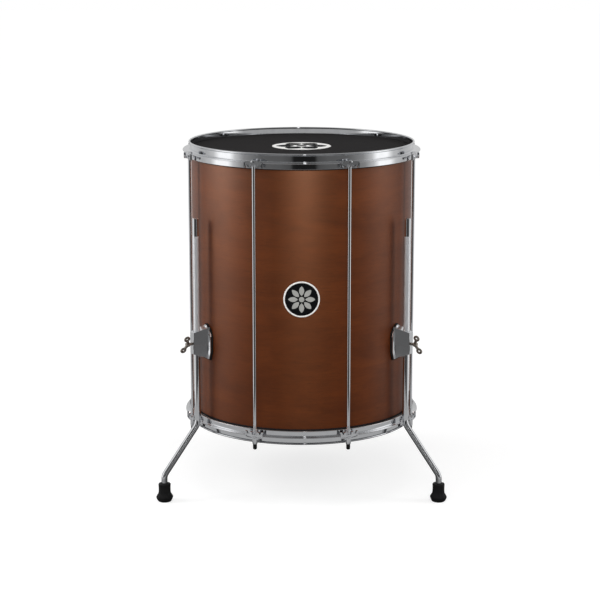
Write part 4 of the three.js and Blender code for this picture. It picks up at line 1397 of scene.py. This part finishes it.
world = bpy.data.worlds.new("studio")
bpy.context.scene.world = world
world.use_nodes = True
backdrop = world.node_tree.nodes["Background"]
backdrop.inputs["Color"].default_value = (1, 1, 1, 1)
strength = between(world, seen_rays(world), FILL, 1.0, 0.0, 1.0)
world.node_tree.links.new(strength, backdrop.inputs["Strength"])
print("fill light", FILL)

# %% [markdown]
# Chrome has no colour of its own: it shows the room. In the photograph the hoops are bright at the
# sides, dark round the front and have one thin glint, and the legs show a dark edge beside a bright
# one. So a surround, a closed drum of cloth, is drawn in reflections only. Round its wall the level
# goes by direction: dark in front, bright at the sides and grey behind. A paler band meets the faces
# that lean a little upwards, and a thin glint stands beside the camera. The bottom is a grey mat with
# a painted shadow of the surdo, darker near it, and the top is a dim ceiling. It casts no shade, and
# the background stays white.

# %% Levels of the surround
SURROUND_RADIUS = 2.6
SURROUND_HEIGHT = 3.2
SURROUND_TURN = 2.5
# Brightness by direction: degrees from the front, and the level there
SURROUND_LEVELS = [
    (0, 0.012), (10, 0.014), (13, 0.08), (22, 0.11), (42, 0.12), (60, 0.27), (70, 0.60),
    (77, 1.2), (91, 1.2), (100, 0.62), (113, 0.46), (128, 0.52), (148, 0.62), (180, 0.30),
]
BACK_LEVEL = 0.62
BACK_START, BACK_FULL = 0.70, 0.95
BACK_START_SHARE, BACK_FULL_SHARE = 0.72, 0.84
MAT_LEVEL = 0.42
MAT_EDGE, MAT_END = 0.88, 1.06
MAT_CEILING = 0.1
# The mat's painted shadow of the surdo: its level near the axis, and where it fades out
MAT_SHADOW_LEVEL = 0.06
MAT_SHADOW_START, MAT_SHADOW_END = 0.26, 0.60
GLINT_LEVEL = 2.6
GLINT_AT, GLINT_HALF = math.radians(3.4), math.radians(1.1)
GLINT_FADE = 1.3 * GLINT_HALF
GLINT_START, GLINT_FULL = 1.02, 1.16
UPPER_LEVEL = 0.40
UPPER_START, UPPER_FULL, UPPER_FALL, UPPER_END = 0.62, 0.84, 0.90, 0.99
CEILING_LEVEL = 0.28
CEILING_START = SURROUND_HEIGHT - 0.1
print("surround levels from", MAT_SHADOW_LEVEL, "to", GLINT_LEVEL)

# %% Helpers for the cloth
cloth = bpy.data.materials.new("surround_cloth")
cloth.use_nodes = True
cloth.node_tree.nodes.clear()


def grey(level):
    return (level, level, level, 1)


def math_node(kind, first, second=0.0):
    """A math node on sockets or plain numbers."""
    new = node(cloth, "ShaderNodeMath", operation=kind)
    for index, value in enumerate((first, second)):
        if isinstance(value, (float, int)):
            new.inputs[index].default_value = value
        else:
            cloth.node_tree.links.new(value, new.inputs[index])
    return new.outputs[0]


def rise(value, start, end):
    """From 0 to 1, softly, while a value goes from start to end."""
    limits = {"From Min": start, "From Max": end}
    soft = node(cloth, "ShaderNodeMapRange", {"Value": value}, limits, interpolation_type="SMOOTHSTEP")
    return soft.outputs["Result"]


print("cloth", cloth.name)

# %% Level by direction
place = node(cloth, "ShaderNodeSeparateXYZ", {"Vector": where(cloth)}).outputs
direction = math_node("ARCTAN2", place["X"], math_node("MULTIPLY", place["Y"], -1.0))
beside_glint = math_node("ABSOLUTE", math_node("SUBTRACT", direction, GLINT_AT))
turned = math_node("SUBTRACT", direction, math.radians(SURROUND_TURN))
away = math_node("DIVIDE", math_node("ABSOLUTE", turned), math.pi)
ramp = node(cloth, "ShaderNodeValToRGB", {"Fac": away})
stops = ramp.color_ramp.elements
while len(stops) < len(SURROUND_LEVELS):
    stops.new(0.5)
for stop, (degrees, level) in zip(stops, SURROUND_LEVELS):
    stop.position = degrees / 180
    stop.color = grey(level)
print("levels round the wall", len(stops))

# %% Band, glint, back, ceiling and mat
# Each layer covers the ones before it, where its own mask is near one
climb = rise(place["Z"], UPPER_START, UPPER_FULL)
band = math_node("MULTIPLY", climb, rise(place["Z"], UPPER_END, UPPER_FALL))
cover = blend_colours(cloth, band, ramp.outputs["Color"], grey(UPPER_LEVEL), "LIGHTEN")
thin = rise(beside_glint, GLINT_FADE, GLINT_HALF)
glint = math_node("MULTIPLY", thin, rise(place["Z"], GLINT_START, GLINT_FULL))
cover = blend_colours(cloth, glint, cover, grey(GLINT_LEVEL))
rear = rise(away, BACK_START_SHARE, BACK_FULL_SHARE)
behind = math_node("MULTIPLY", rear, rise(place["Z"], BACK_START, BACK_FULL))
cover = blend_colours(cloth, behind, cover, grey(BACK_LEVEL))
overhead = math_node("GREATER_THAN", place["Z"], CEILING_START)
cover = blend_colours(cloth, overhead, cover, grey(CEILING_LEVEL))
apart = distance_out(cloth)
low_down = math_node("LESS_THAN", place["Z"], MAT_CEILING)
on_mat = math_node("MULTIPLY", rise(apart, MAT_END, MAT_EDGE), low_down)
# The mat gets darker near the drum: a painted shadow, seen only in reflections
mat = blend_colours(cloth, rise(apart, MAT_SHADOW_START, MAT_SHADOW_END), grey(MAT_SHADOW_LEVEL), grey(MAT_LEVEL))
cover = blend_colours(cloth, on_mat, cover, mat)
shine = node(cloth, "ShaderNodeEmission", {"Color": cover})
node(cloth, "ShaderNodeOutputMaterial", {"Surface": shine.outputs[0]})
print("surround material has", len(cloth.node_tree.nodes), "nodes")

# %% Hang the surround
deselect()
bpy.ops.mesh.primitive_cylinder_add(
    vertices=96, radius=SURROUND_RADIUS, depth=SURROUND_HEIGHT,
    location=(AXIS.x, AXIS.y, SURROUND_HEIGHT / 2 + MM),
)
surround = named(bpy.context.object, "surround")
bpy.ops.object.transform_apply(location=True)
put_on(surround, cloth)
for ray in ("camera", "diffuse", "transmission", "volume_scatter", "shadow"):
    setattr(surround, f"visible_{ray}", False)
print("surround at", SURROUND_RADIUS, "metres")

# %% [markdown]
# Real lamps light what is not a mirror. Two soft lights stand at the sides, one fills the front and
# one hangs over the skin. They don't show in the chrome, which has the surround for that. The satin
# lacquer needs bright, narrow sources for its vertical sheen: a strip at each side and a thin one
# beside the camera. Light linking lets those three reach the shell alone, or their images would
# burn out on the polished hoops and legs.

# %% Lamps
SIDE_DISTANCE, SIDE_HEIGHT, SIDE_TALL = 2.2, 1.65, 1.9
STRIP_DISTANCE, STRIP_HEIGHT, STRIP_TALL = 2.35, 1.45, 1.2
FILL_SIZE = (1.6, 1.2)
# Name, degrees from the front, width in metres, power in watts
SIDE_LIGHTS = [("left_light", -86, 1.2, 42), ("right_light", 84, 0.75, 24)]
STRIPS = [("left_strip", -84, 0.6, 185), ("front_strip", 3.4, 0.09, 150), ("right_strip", 85, 0.5, 72)]
# Name, distance in front, height, degrees of tilt from straight down, power
FILLS = [("front_fill", 2.2, 1.15, 78, 23), ("top_light", 0.6, 2.9, 12, 13)]


def soft_light(name, direction, distance, height, size, power):
    """A tall area light, at a direction in degrees from the front, facing the drum's axis."""
    angle = math.radians(direction)
    place = AXIS + Vector((distance * math.sin(angle), -distance * math.cos(angle), height))
    deselect()
    bpy.ops.object.light_add(type="AREA", location=place)
    lamp = bpy.context.object
    lamp.name = lamp.data.name = name
    lamp.data.shape = "RECTANGLE"
    lamp.data.size, lamp.data.size_y = size
    lamp.data.energy = power
    lamp.rotation_euler = (math.pi / 2, 0, angle)
    lamp.visible_camera = False
    return lamp


lacquered = bpy.data.collections.new("lacquered")
lacquered.objects.link(shell)
for name, direction, width, power in SIDE_LIGHTS:
    side = soft_light(name, direction, SIDE_DISTANCE, SIDE_HEIGHT, (width, SIDE_TALL), power)
    side.visible_glossy = False
for name, direction, width, power in STRIPS:
    strip = soft_light(name, direction, STRIP_DISTANCE, STRIP_HEIGHT, (width, STRIP_TALL), power)
    strip.visible_diffuse = False
    strip.light_linking.receiver_collection = lacquered
for name, distance, height, tilt, power in FILLS:
    fill = soft_light(name, 0, distance, height, FILL_SIZE, power)
    fill.rotation_euler = (math.radians(tilt), 0, 0)
    fill.visible_glossy = False
print("lamps placed", len(SIDE_LIGHTS) + len(STRIPS) + len(FILLS))

# %% [markdown]
# The plain Standard view shows colours as they were written.

# %% Colour view
bpy.context.scene.view_settings.view_transform = "Standard"
